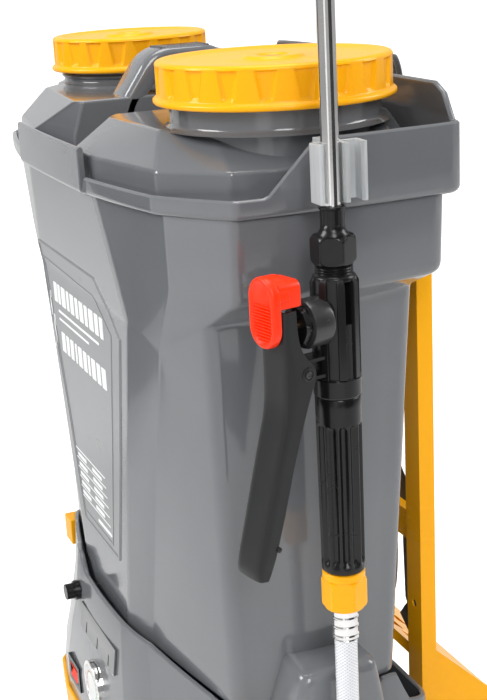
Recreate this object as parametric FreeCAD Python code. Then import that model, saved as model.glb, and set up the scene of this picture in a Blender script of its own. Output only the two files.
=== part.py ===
import FreeCAD, Part

import math
import os

V = FreeCAD.Vector
X, Y, Z = V(1, 0, 0), V(0, 1, 0), V(0, 0, 1)

# ---------------------------------------------------------------------------------------------
# Battery knapsack sprayer. Millimetres. Origin: on the ground, on the tank's symmetry plane
# (x = 0) and below the centres of the two filler caps (y = 0). +Z up, -Y the side with the
# controls, +Y the wearer's back, +X the side that carries the lance.
# ---------------------------------------------------------------------------------------------

# Driving dimensions ---------------------------------------------------------------------------
WALL = 3.0                 # tank and base wall thickness
BASE_FLOOR_Z = 12.0        # underside of the base, on its feet
BASE_DECK_Z = 176.0        # deck of the base, under the tank
TANK_FLOOR_Z = 176.5       # lowest face of the tank
SHOULDER_Z = (403.0, 435.0)  # sloped shoulder between the body and the wider top band
TRAY_Z = (478.0, 484.0)    # floor of the spill tray
COLLAR_T = 3.5             # thickness of the tray's wall
PLATEAU_Z = 516.0          # top of the deck blocks that carry the necks
NECK_TOP_Z = 545.0
CAP_TOP_Z = 552.0
CAP_CLEAR = 0.08           # radial running clearance of a cap on its neck
BIG_CAP_X, BIG_CAP_R, BIG_NECK_R = 125.0, 66.5, 60.0
SMALL_CAP_X, SMALL_CAP_R, SMALL_NECK_R = -136.0, 55.2, 49.0
LANCE = V(226.0, -15.0, 0)  # axis of the parked lance
TUBE_R = 4.7               # outer lance tube
SLIDE_CLEAR = 0.05         # radial clearance of pins and sliding tubes
SWIVEL_Z = 112.0           # axis of the hose's swivel at the base
HANDSET_TURN = 12.0        # the trigger is turned this many degrees from -Y towards +X
LEVER_PIN = (26.3, 402.5)  # trigger lever's pin: reach from the lance's axis, height
STEM_Z = 426.0             # axis of the valve stem
LATCH_PIN = (33.0, 443.5)  # latch's pin: reach from the lance's axis, height
LEVER_HALF = 10.5          # half width of the lever
FRAME_X, FRAME_Y = 138.0, (76.5, 87.0)  # uprights of the back frame

# Half outlines of the tank, from the control side round to the wearer's side, x > 0
BODY_LOW = [(44, -88), (71, -79.5), (171, -61), (173, 45)]
BODY_TOP = [(98, -88.5), (128, -80), (170, -65), (175, 61)]
BAND_LOW = [(99, -89), (154, -80), (197, -58), (194, 69)]
BAND_TOP = [(76, -97), (161, -82.5), (198, -58), (195, 70)]
COLLAR = [(73, -102), (157, -88), (202, -58), (200, 79)]
BLOCK_FOOT = [(32, -80), (70, -93), (149.6, -82), (181.5, -52), (187, -18), (187, 54), (150, 73), (32, 73)]
BLOCK_TOP = [(32, -72), (36, -78), (121, -69), (147, -46.6), (152, -18), (152, 50), (127, 70), (32, 70)]


# Geometry helpers -----------------------------------------------------------------------------
def box(low, high):
    size = V(*high) - V(*low)
    return Part.makeBox(size.x, size.y, size.z, V(*low))


def rod(radius, start, end):
    start, end = V(*start), V(*end)
    return Part.makeCylinder(radius, (end - start).Length, start, end - start)


def pipe(outer, inner, start, end):
    return rod(outer, start, end).cut(rod(inner, start, end))


def plate(points, depth):
    """A closed polygon of 3-D points, extruded by the vector depth."""
    corners = [V(*p) for p in points]
    return Part.Face(Part.makePolygon(corners + corners[:1])).extrude(V(*depth))


def hexagon(across_flats, start, end):
    """A hexagonal bar between two points on the z axis direction of the lance, or on y."""
    start, end = V(*start), V(*end)
    radius = across_flats / 2 / math.cos(math.radians(30))
    along = (end - start).normalize()
    side = X if abs(along.x) < 0.5 else Y
    other = along.cross(side)
    turns = [math.radians(60 * i) for i in range(6)]
    corners = [start + side * (radius * math.cos(t)) + other * (radius * math.sin(t)) for t in turns]
    return Part.Face(Part.makePolygon(corners + corners[:1])).extrude(end - start)


def turned(profile, centre=V(0, 0, 0)):
    """A solid of revolution about a vertical axis from (radius, z) points."""
    corners = [centre + V(r, 0, z) for r, z in profile]
    face = Part.Face(Part.makePolygon(corners + corners[:1]))
    return face.revolve(centre, Z, 360)


def whole(half):
    """A half outline and its mirror image, as one closed outline, anticlockwise from above."""
    return list(half) + [(-x, y) for x, y in reversed(half)]


def inset(points, distance):
    """The closed outline moved inwards by distance, edge by edge."""
    count = len(points)
    moved = []
    for i in range(count):
        (x0, y0), (x1, y1), (x2, y2) = points[i - 1], points[i], points[(i + 1) % count]
        a, b = V(x1 - x0, y1 - y0, 0).normalize(), V(x2 - x1, y2 - y1, 0).normalize()
        na, nb = V(-a.y, a.x, 0), V(-b.y, b.x, 0)
        reach = distance / (1 + na.dot(nb))
        moved.append((x1 + (na.x + nb.x) * reach, y1 + (na.y + nb.y) * reach))
    return moved


def stack(sections):
    """A straight-sided loft through (outline, z) sections with matching corners."""
    wires = []
    for outline, z in sections:
        corners = [V(x, y, z) for x, y in outline]
        wires.append(Part.makePolygon(corners + corners[:1]))
    return Part.makeLoft(wires, True, True)


def flipped(shape):
    """The mirror image on the other side of the tank's symmetry plane."""
    return shape.mirror(V(0, 0, 0), X)


def both(shape):
    return shape.fuse(flipped(shape))


def rounded(shape, radius, choose):
    """The shape with a fillet on each edge for which choose(edge) is true."""
    edges = [edge for edge in shape.Edges if choose(edge)]
    return shape.makeFillet(radius, edges)


def save(name, shape):
    shape = shape.removeSplitter()
    for solid in shape.Solids:
        if not solid.isValid():
            raise ValueError(name + " is not a valid solid")
    shape.exportStep("parts/" + name + ".step")


# Tank -----------------------------------------------------------------------------------------
def tank_outside(gap=0.0):
    """The tank's outer form below the tray, grown by gap all round."""
    rings = [(BODY_LOW, TANK_FLOOR_Z), (BODY_TOP, SHOULDER_Z[0]),
             (BAND_LOW, SHOULDER_Z[1]), (BAND_TOP, TRAY_Z[0])]
    return stack([(inset(whole(half), -gap), z) for half, z in rings])


def tank_inside():
    rings = [(BODY_LOW, TANK_FLOOR_Z + WALL), (BODY_TOP, SHOULDER_Z[0]), (BAND_LOW, SHOULDER_Z[1])]
    sections = [(inset(whole(half), WALL), z) for half, z in rings]
    return stack(sections + [(inset(whole(BAND_TOP), WALL), TRAY_Z[0])])


def deck_block(near, top, grow=0.0):
    """One of the two blocks that stand in the tray and carry a neck."""
    foot, crown = list(BLOCK_FOOT), list(BLOCK_TOP)
    if not near:
        foot = [(x if x > 32 else 15, y) for x, y in foot]
        crown = [(x if x > 36 else 15 + (x - 32) * 0.5, y) for x, y in crown]
    block = stack([(inset(foot, grow), TRAY_Z[0] - 1 + grow * 0.4), (inset(foot, grow), 498 - grow),
                   (inset(crown, grow), top - grow)])
    return block if near else flipped(block)


def collar():
    """The tray's wall: low along the chamfers, higher on the control side, highest at the back."""
    ring = stack([(whole(COLLAR), TRAY_Z[0]), (whole(COLLAR), 534)])
    room = inset(whole(COLLAR), COLLAR_T)
    ring = ring.cut(stack([(room, TRAY_Z[0] - 1), (room, 540)]))
    ring = ring.cut(box((-73, -130, 504), (73, -60, 560)))
    side = [(73, -130, 487), (73, -40, 487), (73, -12, 515), (73, 75.4, 515),
            (73, 75.4, 560), (73, -130, 560)]
    ring = ring.cut(both(plate(side, (180, 0, 0))))
    corner = [(215, 60, 515), (184, 60, 517), (182, 60, 527), (174, 60, 535), (174, 60, 560), (215, 60, 560)]
    return ring.cut(both(plate(corner, (0, 40, 0))))


def handle():
    """The carrying handle over the valley, moulded with the tank."""
    side = [(-45, -50, 512), (-45, -40, 525), (-45, -24, 549), (-45, 24, 549), (-45, 40, 525), (-45, 50, 512)]
    bar = plate(side, (30, 0, 0))
    return rounded(bar, 5, lambda edge: edge.BoundBox.ZMin > 524 and edge.BoundBox.XLength < 0.1)


def tank_shell():
    tray_floor = stack([(whole(COLLAR), TRAY_Z[0]), (whole(COLLAR), TRAY_Z[1])])
    shell = tank_outside().fuse([tray_floor, collar()])
    shell = shell.fuse([deck_block(True, PLATEAU_Z), deck_block(False, PLATEAU_Z + 4)])
    shell = shell.fuse(handle())
    necks = ((BIG_CAP_X, BIG_NECK_R), (SMALL_CAP_X, SMALL_NECK_R))
    for x, radius in necks:
        shell = shell.fuse(rod(radius, (x, 0, 490), (x, 0, NECK_TOP_Z)))
    bead = turned([(SMALL_NECK_R - 2, 523.6), (SMALL_NECK_R + 1.6, 524.4), (SMALL_NECK_R + 1.6, 526.4),
                   (SMALL_NECK_R - 2, 527.2)], V(SMALL_CAP_X, 0, 0))
    shell = shell.fuse(bead)
    far_room = deck_block(False, PLATEAU_Z + 4, WALL).cut(box((-56, -60, 470), (0, 60, 540)))
    inside = tank_inside().fuse([deck_block(True, PLATEAU_Z, WALL), far_room])
    for x, radius in necks:
        inside = inside.fuse(rod(radius - 4.5, (x, 0, 470), (x, 0, 560)))
    shell = shell.cut(inside)
    hand_room = box((-52, -27, TRAY_Z[1]), (0, 27, 531))
    outlet = rod(7.0, (20, 10, 170), (20, 10, 190))
    return shell.cut(hand_room.fuse(outlet))


def screw_cap(x, radius, neck_radius, flange, vent_radius):
    """A filler cap: fluted skirt, flange at its foot, dished top with a central boss and vent hole."""
    bore = neck_radius + CAP_CLEAR
    bottom = 528.5
    profile = [(bore, bottom), (flange, bottom), (flange, bottom + 3.2), (radius, bottom + 4.4),
               (radius, 549.5),
               (radius - 2.5, CAP_TOP_Z), (radius - 8, CAP_TOP_Z - 0.4), (radius * 0.55, 550.6), (17, 550.4),
               (15, CAP_TOP_Z), (8, CAP_TOP_Z), (7.4, 549.9), (vent_radius, 549.9), (vent_radius, 548.6),
               (bore, 548.6)]
    cap = turned(profile, V(x, 0, 0))
    flutes = 20
    for i in range(flutes):
        turn = 360 * i / flutes
        half_outline = [(5.5, 549), (4.8, 542), (3, 534)]
        outline = [(radius - 1.6, y, z) for y, z in half_outline]
        outline += [(radius - 1.6, -y, z) for y, z in reversed(half_outline)]
        cut = plate(outline, (5, 0, 0))
        cut.rotate(V(0, 0, 0), Z, turn)
        cut.translate(V(x, 0, 0))
        cap = cap.cut(cut)
    return cap


def strainer():
    """The mesh basket that hangs in the big neck, with its rim on the neck's top."""
    wall = [(0, 486), (44, 486), (52, 545), (58.5, 545), (58.5, 546.5), (50, 546.5), (42, 488), (0, 488)]
    basket = turned(wall, V(BIG_CAP_X, 0, 0))
    for i in range(12):
        window = box((30, -7, 494), (70, 7, 536))
        window.rotate(V(0, 0, 0), Z, 30 * i)
        window.translate(V(BIG_CAP_X, 0, 0))
        basket = basket.cut(window)
    return basket


def tank_parts():
    save("tank_shell", tank_shell())
    save("big_cap", screw_cap(BIG_CAP_X, BIG_CAP_R, BIG_NECK_R, 68.7, 4.0))
    save("small_cap", screw_cap(SMALL_CAP_X, SMALL_CAP_R, SMALL_NECK_R, 57.3, 0.5))
    save("big_cap_gasket", pipe(58.5, 50.5, (BIG_CAP_X, 0, 546.5), (BIG_CAP_X, 0, 548.5)))
    save("small_cap_gasket", pipe(48.0, 41.0, (SMALL_CAP_X, 0, NECK_TOP_Z), (SMALL_CAP_X, 0, 548.5)))
    vent = rod(3.95, (BIG_CAP_X, 0, 544), (BIG_CAP_X, 0, 549.9))
    vent = vent.fuse([rod(6.0, (BIG_CAP_X, 0, 549.9), (BIG_CAP_X, 0, 551)),
                      rod(6.5, (BIG_CAP_X, 0, 545.6), (BIG_CAP_X, 0, 548.4))])
    save("big_cap_vent", vent)
    save("strainer_basket", strainer())
    label = [(-92, 417), (40, 417), (80, 388), (62, 312), (40, 227), (-40, 227), (-62, 312), (-88, 400)]
    foot, lean = 227, 0.0035
    corners = [(x, -88.35 - (z - foot) * lean, z) for x, z in label]
    save("label_plate", plate(corners, (0, -0.9, 0)))


# Base -----------------------------------------------------------------------------------------
BASE_LOW = [(76, -92), (120, -84), (166, -52), (166, 60)]
BASE_WIDE = [(82, -102), (125, -94), (177, -60), (177, 68)]
BASE_MID = [(62, -100), (96, -91), (177, -61), (177, 68)]
BASE_TOP = [(50, -95), (80, -85), (176, -63), (176, 68)]
RIM_FOOT = [(50, -95), (80, -85), (80, -60), (50, -60)]
RIM_TOP = [(46, -93), (74, -84), (74, -60), (46, -60)]
RIM_Z = 187.0              # top of the shroud that hugs the tank
HUMP_Z = 211.0             # top of the raised part of that shroud
BULGE_Y = ((-46, 23), (-33, 15))   # foot and top of the pump cover on the lance side
BULGE_X = 207.0
BULGE_TOP_Z = 210.0
DOOR_HINGE_X, DOOR_HINGE_Z = -180.5, 47.0


def base_rings(top_z):
    """Outlines of the base from its foot to its deck."""
    return [(BASE_LOW, BASE_FLOOR_Z), (BASE_WIDE, 75), (BASE_MID, 140), (BASE_TOP, top_z)]


def base_outside():
    return stack([(whole(half), z) for half, z in base_rings(BASE_DECK_Z)])


def pump_cover():
    (y0, y1), (y2, y3) = BULGE_Y
    foot = [(165, y0), (BULGE_X, y0), (BULGE_X, y1), (165, y1)]
    top = [(165, y2), (BULGE_X - 1, y2), (BULGE_X - 1, y3), (165, y3)]
    low = [(165, y0 + 8), (185, y0 + 8), (185, y1 - 8), (165, y1 - 8)]
    cover = stack([(low, 40), (foot, 80), (foot, 165), (top, BULGE_TOP_Z)])
    return rounded(cover, 5, lambda edge: edge.BoundBox.XMax > 200 and edge.BoundBox.ZMin > 170)


def front_rim():
    """The shroud that rises against the tank on the control side, with its hump."""
    rim = stack([(whole(RIM_FOOT), BASE_DECK_Z - 1), (whole(RIM_TOP), RIM_Z)])
    foot = RIM_Z - 6
    side = [(-78, -60, foot), (-33, -60, foot), (-46, -60, HUMP_Z), (-66, -60, HUMP_Z)]
    hump = plate(side, (0, -34, 0))
    return rim.fuse(hump)


def base_shell():
    shell = base_outside().fuse([pump_cover(), front_rim()])
    shell = shell.cut(tank_outside(0.4).common(box((-300, -200, BASE_DECK_Z), (300, 200, 400))))
    hollow = [(inset(whole(half), WALL), z) for half, z in base_rings(BASE_DECK_Z - WALL)]
    hollow[0] = (hollow[0][0], BASE_FLOOR_Z - 1)
    shell = shell.cut(stack(hollow))
    (y0, y1), _ = BULGE_Y
    shell = shell.cut(box((160, y0 + 4, 84), (BULGE_X - 4, y1 - 4, BASE_DECK_Z - 6)))
    shell = shell.cut(box((-200, -40, 52), (-170, 30, 142)))
    for low, high in ((-36, -20.3), (10.3, 26)):
        knuckle = rod(3.2, (DOOR_HINGE_X, low, DOOR_HINGE_Z), (DOOR_HINGE_X, high, DOOR_HINGE_Z))
        leaf = box((DOOR_HINGE_X, low, DOOR_HINGE_Z - 3.2), (-170, high, DOOR_HINGE_Z + 3.2))
        shell = shell.fuse([knuckle, leaf])
    shell = shell.cut(rod(1.5, (DOOR_HINGE_X, -40, DOOR_HINGE_Z), (DOOR_HINGE_X, 30, DOOR_HINGE_Z)))
    for low, high in ((-26.5, -22.4), (-7.6, -3.5)):
        ear = rod(9, (LANCE.x, low, SWIVEL_Z), (LANCE.x, high, SWIVEL_Z))
        ear = ear.fuse(box((BULGE_X - 2, low, SWIVEL_Z - 9), (LANCE.x, high, SWIVEL_Z + 9)))
        shell = shell.fuse(ear)
    shell = shell.cut(rod(4, (LANCE.x, -30, SWIVEL_Z), (LANCE.x, 0, SWIVEL_Z)))
    holes = [through_face(rod(9.05, (0, -20, 0), (0, 20, 0)), GAUGE),
             through_face(rod(3.05, (0, -20, 0), (0, 12, 0)), KNOB),
             through_face(box((-12, -20, -8), (12, 20, 8)), SWITCH),
             through_face(rod(8.0, (0, -20, 0), (0, 20, 0)), SOCKET),
             rod(7.0, (20, 10, 170), (20, 10, 180)),
             rod(6.0, (140, 66, 60), (140, 90, 60)), rod(6.0, (-140, 66, 60), (-140, 90, 60))]
    for hole in holes:
        shell = shell.cut(hole)
    return shell


def base_parts():
    save("base_shell", base_shell())
    floor_outline = inset(whole(BASE_LOW), WALL + 0.6)
    save("base_floor", stack([(floor_outline, BASE_FLOOR_Z), (floor_outline, BASE_FLOOR_Z + 3)]))
    spots = [(0, 0)] + [(x, y) for x in (-125, 125) for y in (-60, 45)]
    foot = [(0, 0), (12, 0), (14, BASE_FLOOR_Z), (0, BASE_FLOOR_Z)]
    save("feet", Part.makeCompound([turned(foot, V(x, y, 0)) for x, y in spots]))
    trim = stack([(inset(whole(BASE_WIDE), -2.5), 58), (inset(whole(BASE_WIDE), -2.5), 74)])
    trim = trim.cut(box((-300, -52, 0), (300, 100, 100)))
    lug = box((165, -70, 150), (183, -56, 171)).cut(box((178, -66, 154), (190, -60, 162)))
    save("base_trim", trim.fuse(both(lug)).cut(base_outside()))
    save("control_panel", control_panel())
    # battery bay and its door
    save("battery_pack", rounded(box((-150, -62, 24), (-52, 30, 118)), 4, lambda edge: True))
    door = box((-178, -39.5, 52.5), (-174.5, 29.5, 141.5))
    barrel = rod(3.2, (DOOR_HINGE_X, -20, DOOR_HINGE_Z), (DOOR_HINGE_X, 10, DOOR_HINGE_Z))
    arm = box((DOOR_HINGE_X, -20, DOOR_HINGE_Z), (-177.3, 10, 56))
    door = door.fuse([barrel, arm, box((-180, -39.5, 52.5), (-177.5, 29.5, 141.5))])
    hole = rod(1.5 + SLIDE_CLEAR, (DOOR_HINGE_X, -40, DOOR_HINGE_Z), (DOOR_HINGE_X, 30, DOOR_HINGE_Z))
    save("battery_door", door.cut(hole))
    save("battery_door_pin", rod(1.5, (DOOR_HINGE_X, -36, DOOR_HINGE_Z), (DOOR_HINGE_X, 26, DOOR_HINGE_Z)))
    # pump, motor and internal hoses
    ports = [rod(8, (x, -10, 74), (x, -10, 92)) for x in (75, 97)]
    save("pump_body", box((60, -35, 24), (110, 15, 74)).fuse(ports))
    save("pump_motor", rod(17, (110, -10, 46), (164, -10, 46)))
    save("suction_hose", bent_hose([(20, 10, 169), (20, 10, 130), (75, -10, 130), (75, -10, 93)], 6))
    save("delivery_link", bent_hose([(97, -10, 93), (97, -10, 130), (180, -10, 130), (198, -10, 130)], 6))
    outlet = pipe(6.9, 4.5, (20, 10, 169), (20, 10, 181)).fuse(
        [pipe(11, 4.5, (20, 10, 179.6), (20, 10, 182)), pipe(9, 7.5, (20, 10, 182), (20, 10, 205)),
         rod(9, (20, 10, 205), (20, 10, 207))])
    save("tank_outlet", outlet)


def bent_hose(points, radius):
    """A hose of round section along a polyline with rounded corners."""
    runs = []
    for start, end in zip(points, points[1:]):
        runs.append(rod(radius, start, end))
    joints = [Part.makeSphere(radius, V(*p)) for p in points[1:-1]]
    return runs[0].fuse(runs[1:] + joints)


def control_panel():
    """The dark glossy band across the control side, with vertical grooves."""
    panel = plate([(-34, -101.3, 147), (46, -101.3, 147), (46, -98.7, 166), (-34, -98.7, 166)], (0, 8, 0))
    panel = panel.cut(base_outside())
    for x in (-20, 6, 32):
        panel = panel.cut(box((x, -105, 148.5), (x + 1.6, -99.9, 164.5)))
    return panel


# Controls: (x, y, z) of each one's centre on the base's face
KNOB = V(-45, -97.2, 170)
GAUGE = V(5, -101.4, 120)
SWITCH = V(-53, -101.8, 100)
SOCKET = V(48, -101.8, 98)


def through_face(shape, centre):
    """A shape made about the origin, with +y into the base, moved to a control's centre."""
    shape.translate(centre)
    return shape


def knob():
    """The regulator's knob, with a plain flange, a fluted grip and its shaft."""
    shape = rod(7.0, (0, -3.8, 0), (0, 0, 0))
    shape = shape.fuse([rod(5.6, (0, -10, 0), (0, -3.8, 0)), rod(3.0, (0, 0, 0), (0, 10, 0))])
    for i in range(12):
        turn = math.radians(30 * i)
        x, z = 5.9 * math.cos(turn), 5.9 * math.sin(turn)
        shape = shape.cut(rod(0.7, (x, -11, z), (x, -4.8, z)))
    return shape


def gauge():
    ring = rod(18, (0, -5.6, 0), (0, 0, 0)).cut(rod(15, (0, -6.6, 0), (0, -1.6, 0)))
    return ring.fuse(rod(9.0, (0, 0, 0), (0, 12, 0)))


def switch_housing():
    housing = box((-14, -2.8, -10), (14, 0, 10)).fuse(box((-11.9, 0, -7.9), (11.9, 16.2, 7.9)))
    housing = housing.cut(box((-9, -8.8, -6), (9, 8.2, 6)))
    return housing.cut(rod(1.5, (-10.5, 2.2, 0), (10.5, 2.2, 0)))


def rocker():
    side = [(-8.7, 6.7, -3), (-8.7, -3.2, -4.9), (-8.7, -1.4, 0), (-8.7, -3.2, 4.9), (-8.7, 6.7, 3)]
    return plate(side, (17.4, 0, 0)).fuse(rod(1.5 - SLIDE_CLEAR, (-10.3, 2.2, 0), (10.3, 2.2, 0)))


SOCKET_HINGE = (-3.6, -12.0)   # (y, z) of the cover's hinge from the socket's centre


def charging_socket():
    """A round socket with two lugs and a fixed pin for its cover."""
    y, z = SOCKET_HINGE
    lugs = []
    for x in (-5.8, 3.2):
        lugs += [box((x, -2.2, -13.8), (x + 2.6, 0, -6)), box((x, y, -13.8), (x + 2.6, -2.2, -10)),
                 rod(1.9, (x, y, z), (x + 2.6, y, z))]
    socket = rod(7.9, (0, 0, 0), (0, 16.2, 0)).fuse(rod(10, (0, -2.2, 0), (0, 0, 0)))
    socket = socket.cut(rod(4, (0, -3.8, 0), (0, 10.2, 0)))
    socket = socket.fuse(lugs).cut(rod(1.0, (-18, y, z), (12, y, z)))
    return socket.fuse(rod(1.0, (-6, y, z), (6, y, z)))


def socket_cover():
    """The hinged cover, with a short plug that enters the socket."""
    y, z = SOCKET_HINGE
    cover = rod(9.6, (0, -4.4, 0), (0, -2.4, 0)).fuse(rod(3.3, (0, -2.4, 0), (0, 0.1, 0)))
    cover = cover.fuse([box((-2.8, -4.6, z), (2.8, -2.6, -6)), rod(1.9, (-2.8, y, z), (2.8, y, z))])
    return cover.cut(rod(1.0 + SLIDE_CLEAR, (-8, y, z), (8, y, z)))


def controls():
    save("regulator_knob", through_face(knob(), KNOB))
    save("gauge_bezel", through_face(gauge(), GAUGE))
    save("gauge_lens", through_face(rod(14.9, (0, -5.2, 0), (0, -3.8, 0)), GAUGE))
    save("switch_housing", through_face(switch_housing(), SWITCH))
    save("rocker_switch", through_face(rocker(), SWITCH))
    save("charging_socket", through_face(charging_socket(), SOCKET))
    save("socket_cover", through_face(socket_cover(), SOCKET))


# Back frame and harness -------------------------------------------------------------------------
def back_frame():
    y0, y1 = FRAME_Y
    upright = box((FRAME_X - 9, y0, 60), (FRAME_X + 9, y1, 477)).fuse(
        box((FRAME_X - 9, 80, 470), (FRAME_X + 9, y1, 530)))
    side = [(y0, 172), (y1, 168), (150, 108), (158, 92), (156, 82), (140, 80), (y1, 70), (y0, 60)]
    gusset = plate([(FRAME_X + 1, y, z) for y, z in side], (8, 0, 0))
    frame = both(upright.fuse(gusset))
    for z in (78, 250, 380, 464):
        frame = frame.fuse(box((-FRAME_X, y0 + 2, z - 10), (FRAME_X, y1 - 2, z + 10)))
    side = [(y1 - 2, 150), (y1 + 2, 154), (152, 102), (157, 92), (150, 88), (146, 98)]
    shelf = plate([(-FRAME_X - 2, y, z) for y, z in side], (2 * FRAME_X + 4, 0, 0))
    slots = []
    for i in range(-4, 5):
        slots.append(box((i * 28 - 9, 100, 60), (i * 28 + 9, 108, 170)))
        slots.append(box((i * 28 - 9, 118, 60), (i * 28 + 9, 126, 170)))
    shelf = shelf.cut(slots[0].fuse(slots[1:]))
    frame = frame.fuse([shelf, box((-FRAME_X, 81, 512), (FRAME_X, y1, 528))])
    for x in (-FRAME_X, FRAME_X):
        for z in (200, 440):
            frame = frame.cut(rod(2.6, (x, 60, z), (x, 100, z)))
    return frame


def harness():
    save("back_frame", back_frame())
    screws = []
    for x in (-FRAME_X, FRAME_X):
        for z in (200, 440):
            screw = rod(2.5, (x, 77, z), (x, 87, z)).fuse(rod(4.5, (x, 87, z), (x, 89.6, z)))
            screws.append(screw.cut(hexagon(3.0, (x, 90, z), (x, 88, z))))
    save("frame_screws", Part.makeCompound(screws))
    yoke = box((-95, 88.5, 508), (95, 106, 543))
    save("shoulder_yoke", rounded(yoke, 6, lambda edge: True))
    pad = box((-80, 87.6, 176), (80, 103, 250))
    save("lumbar_pad", rounded(pad, 6, lambda edge: True))
    strap = rounded(box((42, 90, 318), (94, 101, 507)), 4, lambda edge: True)
    save("shoulder_strap_right", strap)
    save("shoulder_strap_left", flipped(strap))
    slider = box((50, 88.6, 296), (86, 98, 307.6)).cut(box((55, 80, 300), (80, 110, 303)))
    save("strap_buckles", Part.makeCompound([slider, flipped(slider)]))
    run = [(55, 92, 295.5), (80, 92, 295.5), (117, 92, 262), (117, 92, 156), (92, 92, 156), (92, 92, 250)]
    webbing = plate(run, (0, 2, 0))
    save("strap_webbing", Part.makeCompound([webbing, flipped(webbing)]))


# Lance, trigger valve and hose ------------------------------------------------------------------
def on_lance(z):
    return (LANCE.x, LANCE.y, z)


def lance_pipe(outer, inner, z0, z1):
    return pipe(outer, inner, on_lance(z0), on_lance(z1))


def clip():
    """Two open channels side by side, stood off the tray's wall: one holds the lance, one is spare."""
    back, front, low, high = 219.3, 232.0, 485.5, 515.5
    body = box((back, -23.4, low), (back + 1.7, 3.5, high))
    arms = [box((back, y, low), (front, y + 2.8, high)) for y in (-23.4, -9.4, 0.7)]
    return body.fuse(arms + [box((202, -20, 490), (back + 1, -10, 511))])


def grip():
    """The fluted sleeve round the hose's end, with a plain collar at the top and a spigot below."""
    radius, count, flute = 12.0, 12, 2.2
    body = rod(radius, on_lance(284), on_lance(384))
    flutes = []
    for i in range(count):
        turn = math.radians(360 * (i + 0.5) / count)
        x, y = LANCE.x + math.cos(turn) * (radius + 1), LANCE.y + math.sin(turn) * (radius + 1)
        flutes.append(rod(flute, (x, y, 280), (x, y, 369)))
    body = body.cut(flutes[0].fuse(flutes[1:])).fuse(rod(9.5, on_lance(270), on_lance(285)))
    return body.cut(rod(4.0, on_lance(260), on_lance(390)))


def reach(distance, z, across=0.0):
    """A point of the handset before it is turned: distance out from the lance's axis, height."""
    return (LANCE.x + across, LANCE.y - distance, z)


def across(radius, distance, z, half):
    """A rod square to the lance and to the valve's stem."""
    return rod(radius, reach(distance, z, -half), reach(distance, z, half))


def block(half, near, far, low, high):
    """A block centred across the handset, between two distances from the lance's axis."""
    return box((LANCE.x - half, LANCE.y - far, low), (LANCE.x + half, LANCE.y - near, high))


def profile(outline, half):
    """A plate cut to an outline of (distance, height) points, centred across the handset."""
    return plate([reach(distance, z, -half) for distance, z in outline], (2 * half, 0, 0))


def along_stem(radius, near, far, z=STEM_Z):
    return rod(radius, reach(near, z), reach(far, z))


def valve_body():
    body = lance_pipe(11.4, 3.5, 394, 444).fuse(lance_pipe(10, 3.5, 444, 451.5))
    ribs = 8
    for i in range(ribs):
        rib = box((10, -1.1, 394), (12.4, 1.1, 442))
        rib.rotate(V(0, 0, 0), Z, 360 / ribs * (i + 0.5))
        rib.translate(LANCE)
        body = body.fuse(rib)
    body = body.fuse([lance_pipe(12.75, 3.5, 384, 394), along_stem(13, 0, 22)])
    body = body.cut(rod(3.5, on_lance(380), on_lance(452)))
    lug = block(5.5, 8, 26.3, 396.5, 408.5).fuse(across(6, *LEVER_PIN, 5.5))
    for side in (-1, 1):
        pocket = box((-2, -21, 398.7), (2, -12.6, 406.3))
        pocket.translate(LANCE + V(side * 4, 0, 0))
        lug = lug.cut(pocket)
    body = body.fuse(lug).cut(across(2 + SLIDE_CLEAR, *LEVER_PIN, 20))
    return body.cut([along_stem(8, -1, 23), rod(3.5, on_lance(380), on_lance(452))])


def stem_slot():
    """Room in the lever for the stem, long enough for the lever's whole turn."""
    half, top = 2.9, STEM_Z + 5.4
    ends = [along_stem(half, 25, 45, z) for z in (STEM_Z - 0.2, top)]
    return block(half, 25, 45, STEM_Z - 0.2, top).fuse(ends)


def lever():
    """The trigger: a channel with two cheeks and a crowned front, hung on a pin."""
    cheek = [(40.4, 437), (40.4, 393), (41, 384), (44, 372), (52.4, 341.7), (60.3, 310.8), (63, 299.5),
             (61.5, 297), (57, 296.5), (55.6, 298), (50.1, 313.2), (41.2, 338.5), (33.3, 369.3), (27.5, 384),
             (23.4, 396), (21.3, 399.5), (20.6, 403.5), (22.6, 407.4), (26, 409.4), (29.4, 413), (31, 420),
             (32, 427), (32, 437)]
    crown = [(40.9, 437), (40.9, 393), (41.6, 384), (44.6, 372), (53, 341.7), (60.9, 310.8), (63.4, 299.5),
             (61.5, 297), (58, 300), (42, 372), (38.6, 384), (38.4, 437)]
    hollow = [(38.4, 438), (38.4, 393), (39, 384), (42, 372), (50.4, 341.7), (57.6, 313), (45, 313),
              (20, 372),
              (18, 400), (18, 438)]
    body = profile(cheek, LEVER_HALF).fuse(profile(crown, LEVER_HALF - 1.5))
    body = body.cut(profile(hollow, LEVER_HALF - 2.5))
    tongue = block(4, 29.5, 37, 432, 447).fuse(block(4, 29.5, 40, 431, 436.9))
    body = body.fuse(tongue).cut(stem_slot())
    body = body.fuse(across(1.5, 49.4, 313, LEVER_HALF + 0.8))
    body = body.cut(across(1.5 + SLIDE_CLEAR, *LATCH_PIN, 20))
    return body.cut(across(2, *LEVER_PIN, 20))


def latch():
    """The lock on top of the lever: thumb pad in front and a hood over the lever's end."""
    half, back, front = 11.0, 41.2, 46.6
    low, high = 429.0, 444.0
    pad = block(half, back, front, low, high).fuse([along_stem(half, back, front, z) for z in (low, high)])
    cap = along_stem(half, 36, back + 1, high).common(block(20, 30, 50, high, 460))
    hood = block(half - 1, 28.5, back + 1, 438.6, 452.5)
    body = pad.fuse([cap, hood]).cut(block(4.3, 26, back, 430, 449))
    floor, low, high = 44.4, STEM_Z - 0.5, STEM_Z + 6
    body = body.cut([along_stem(5, 40, floor, low), along_stem(5, 40, floor, high), block(5, 40, floor, low, high)])
    ridges = 12
    for i in range(ridges):
        z = 419.5 + 1.6 * i
        body = body.cut(block(8.5, front - 0.5, front + 1, z, z + 0.8))
    return body.cut(across(1.5, *LATCH_PIN, 20))


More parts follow.
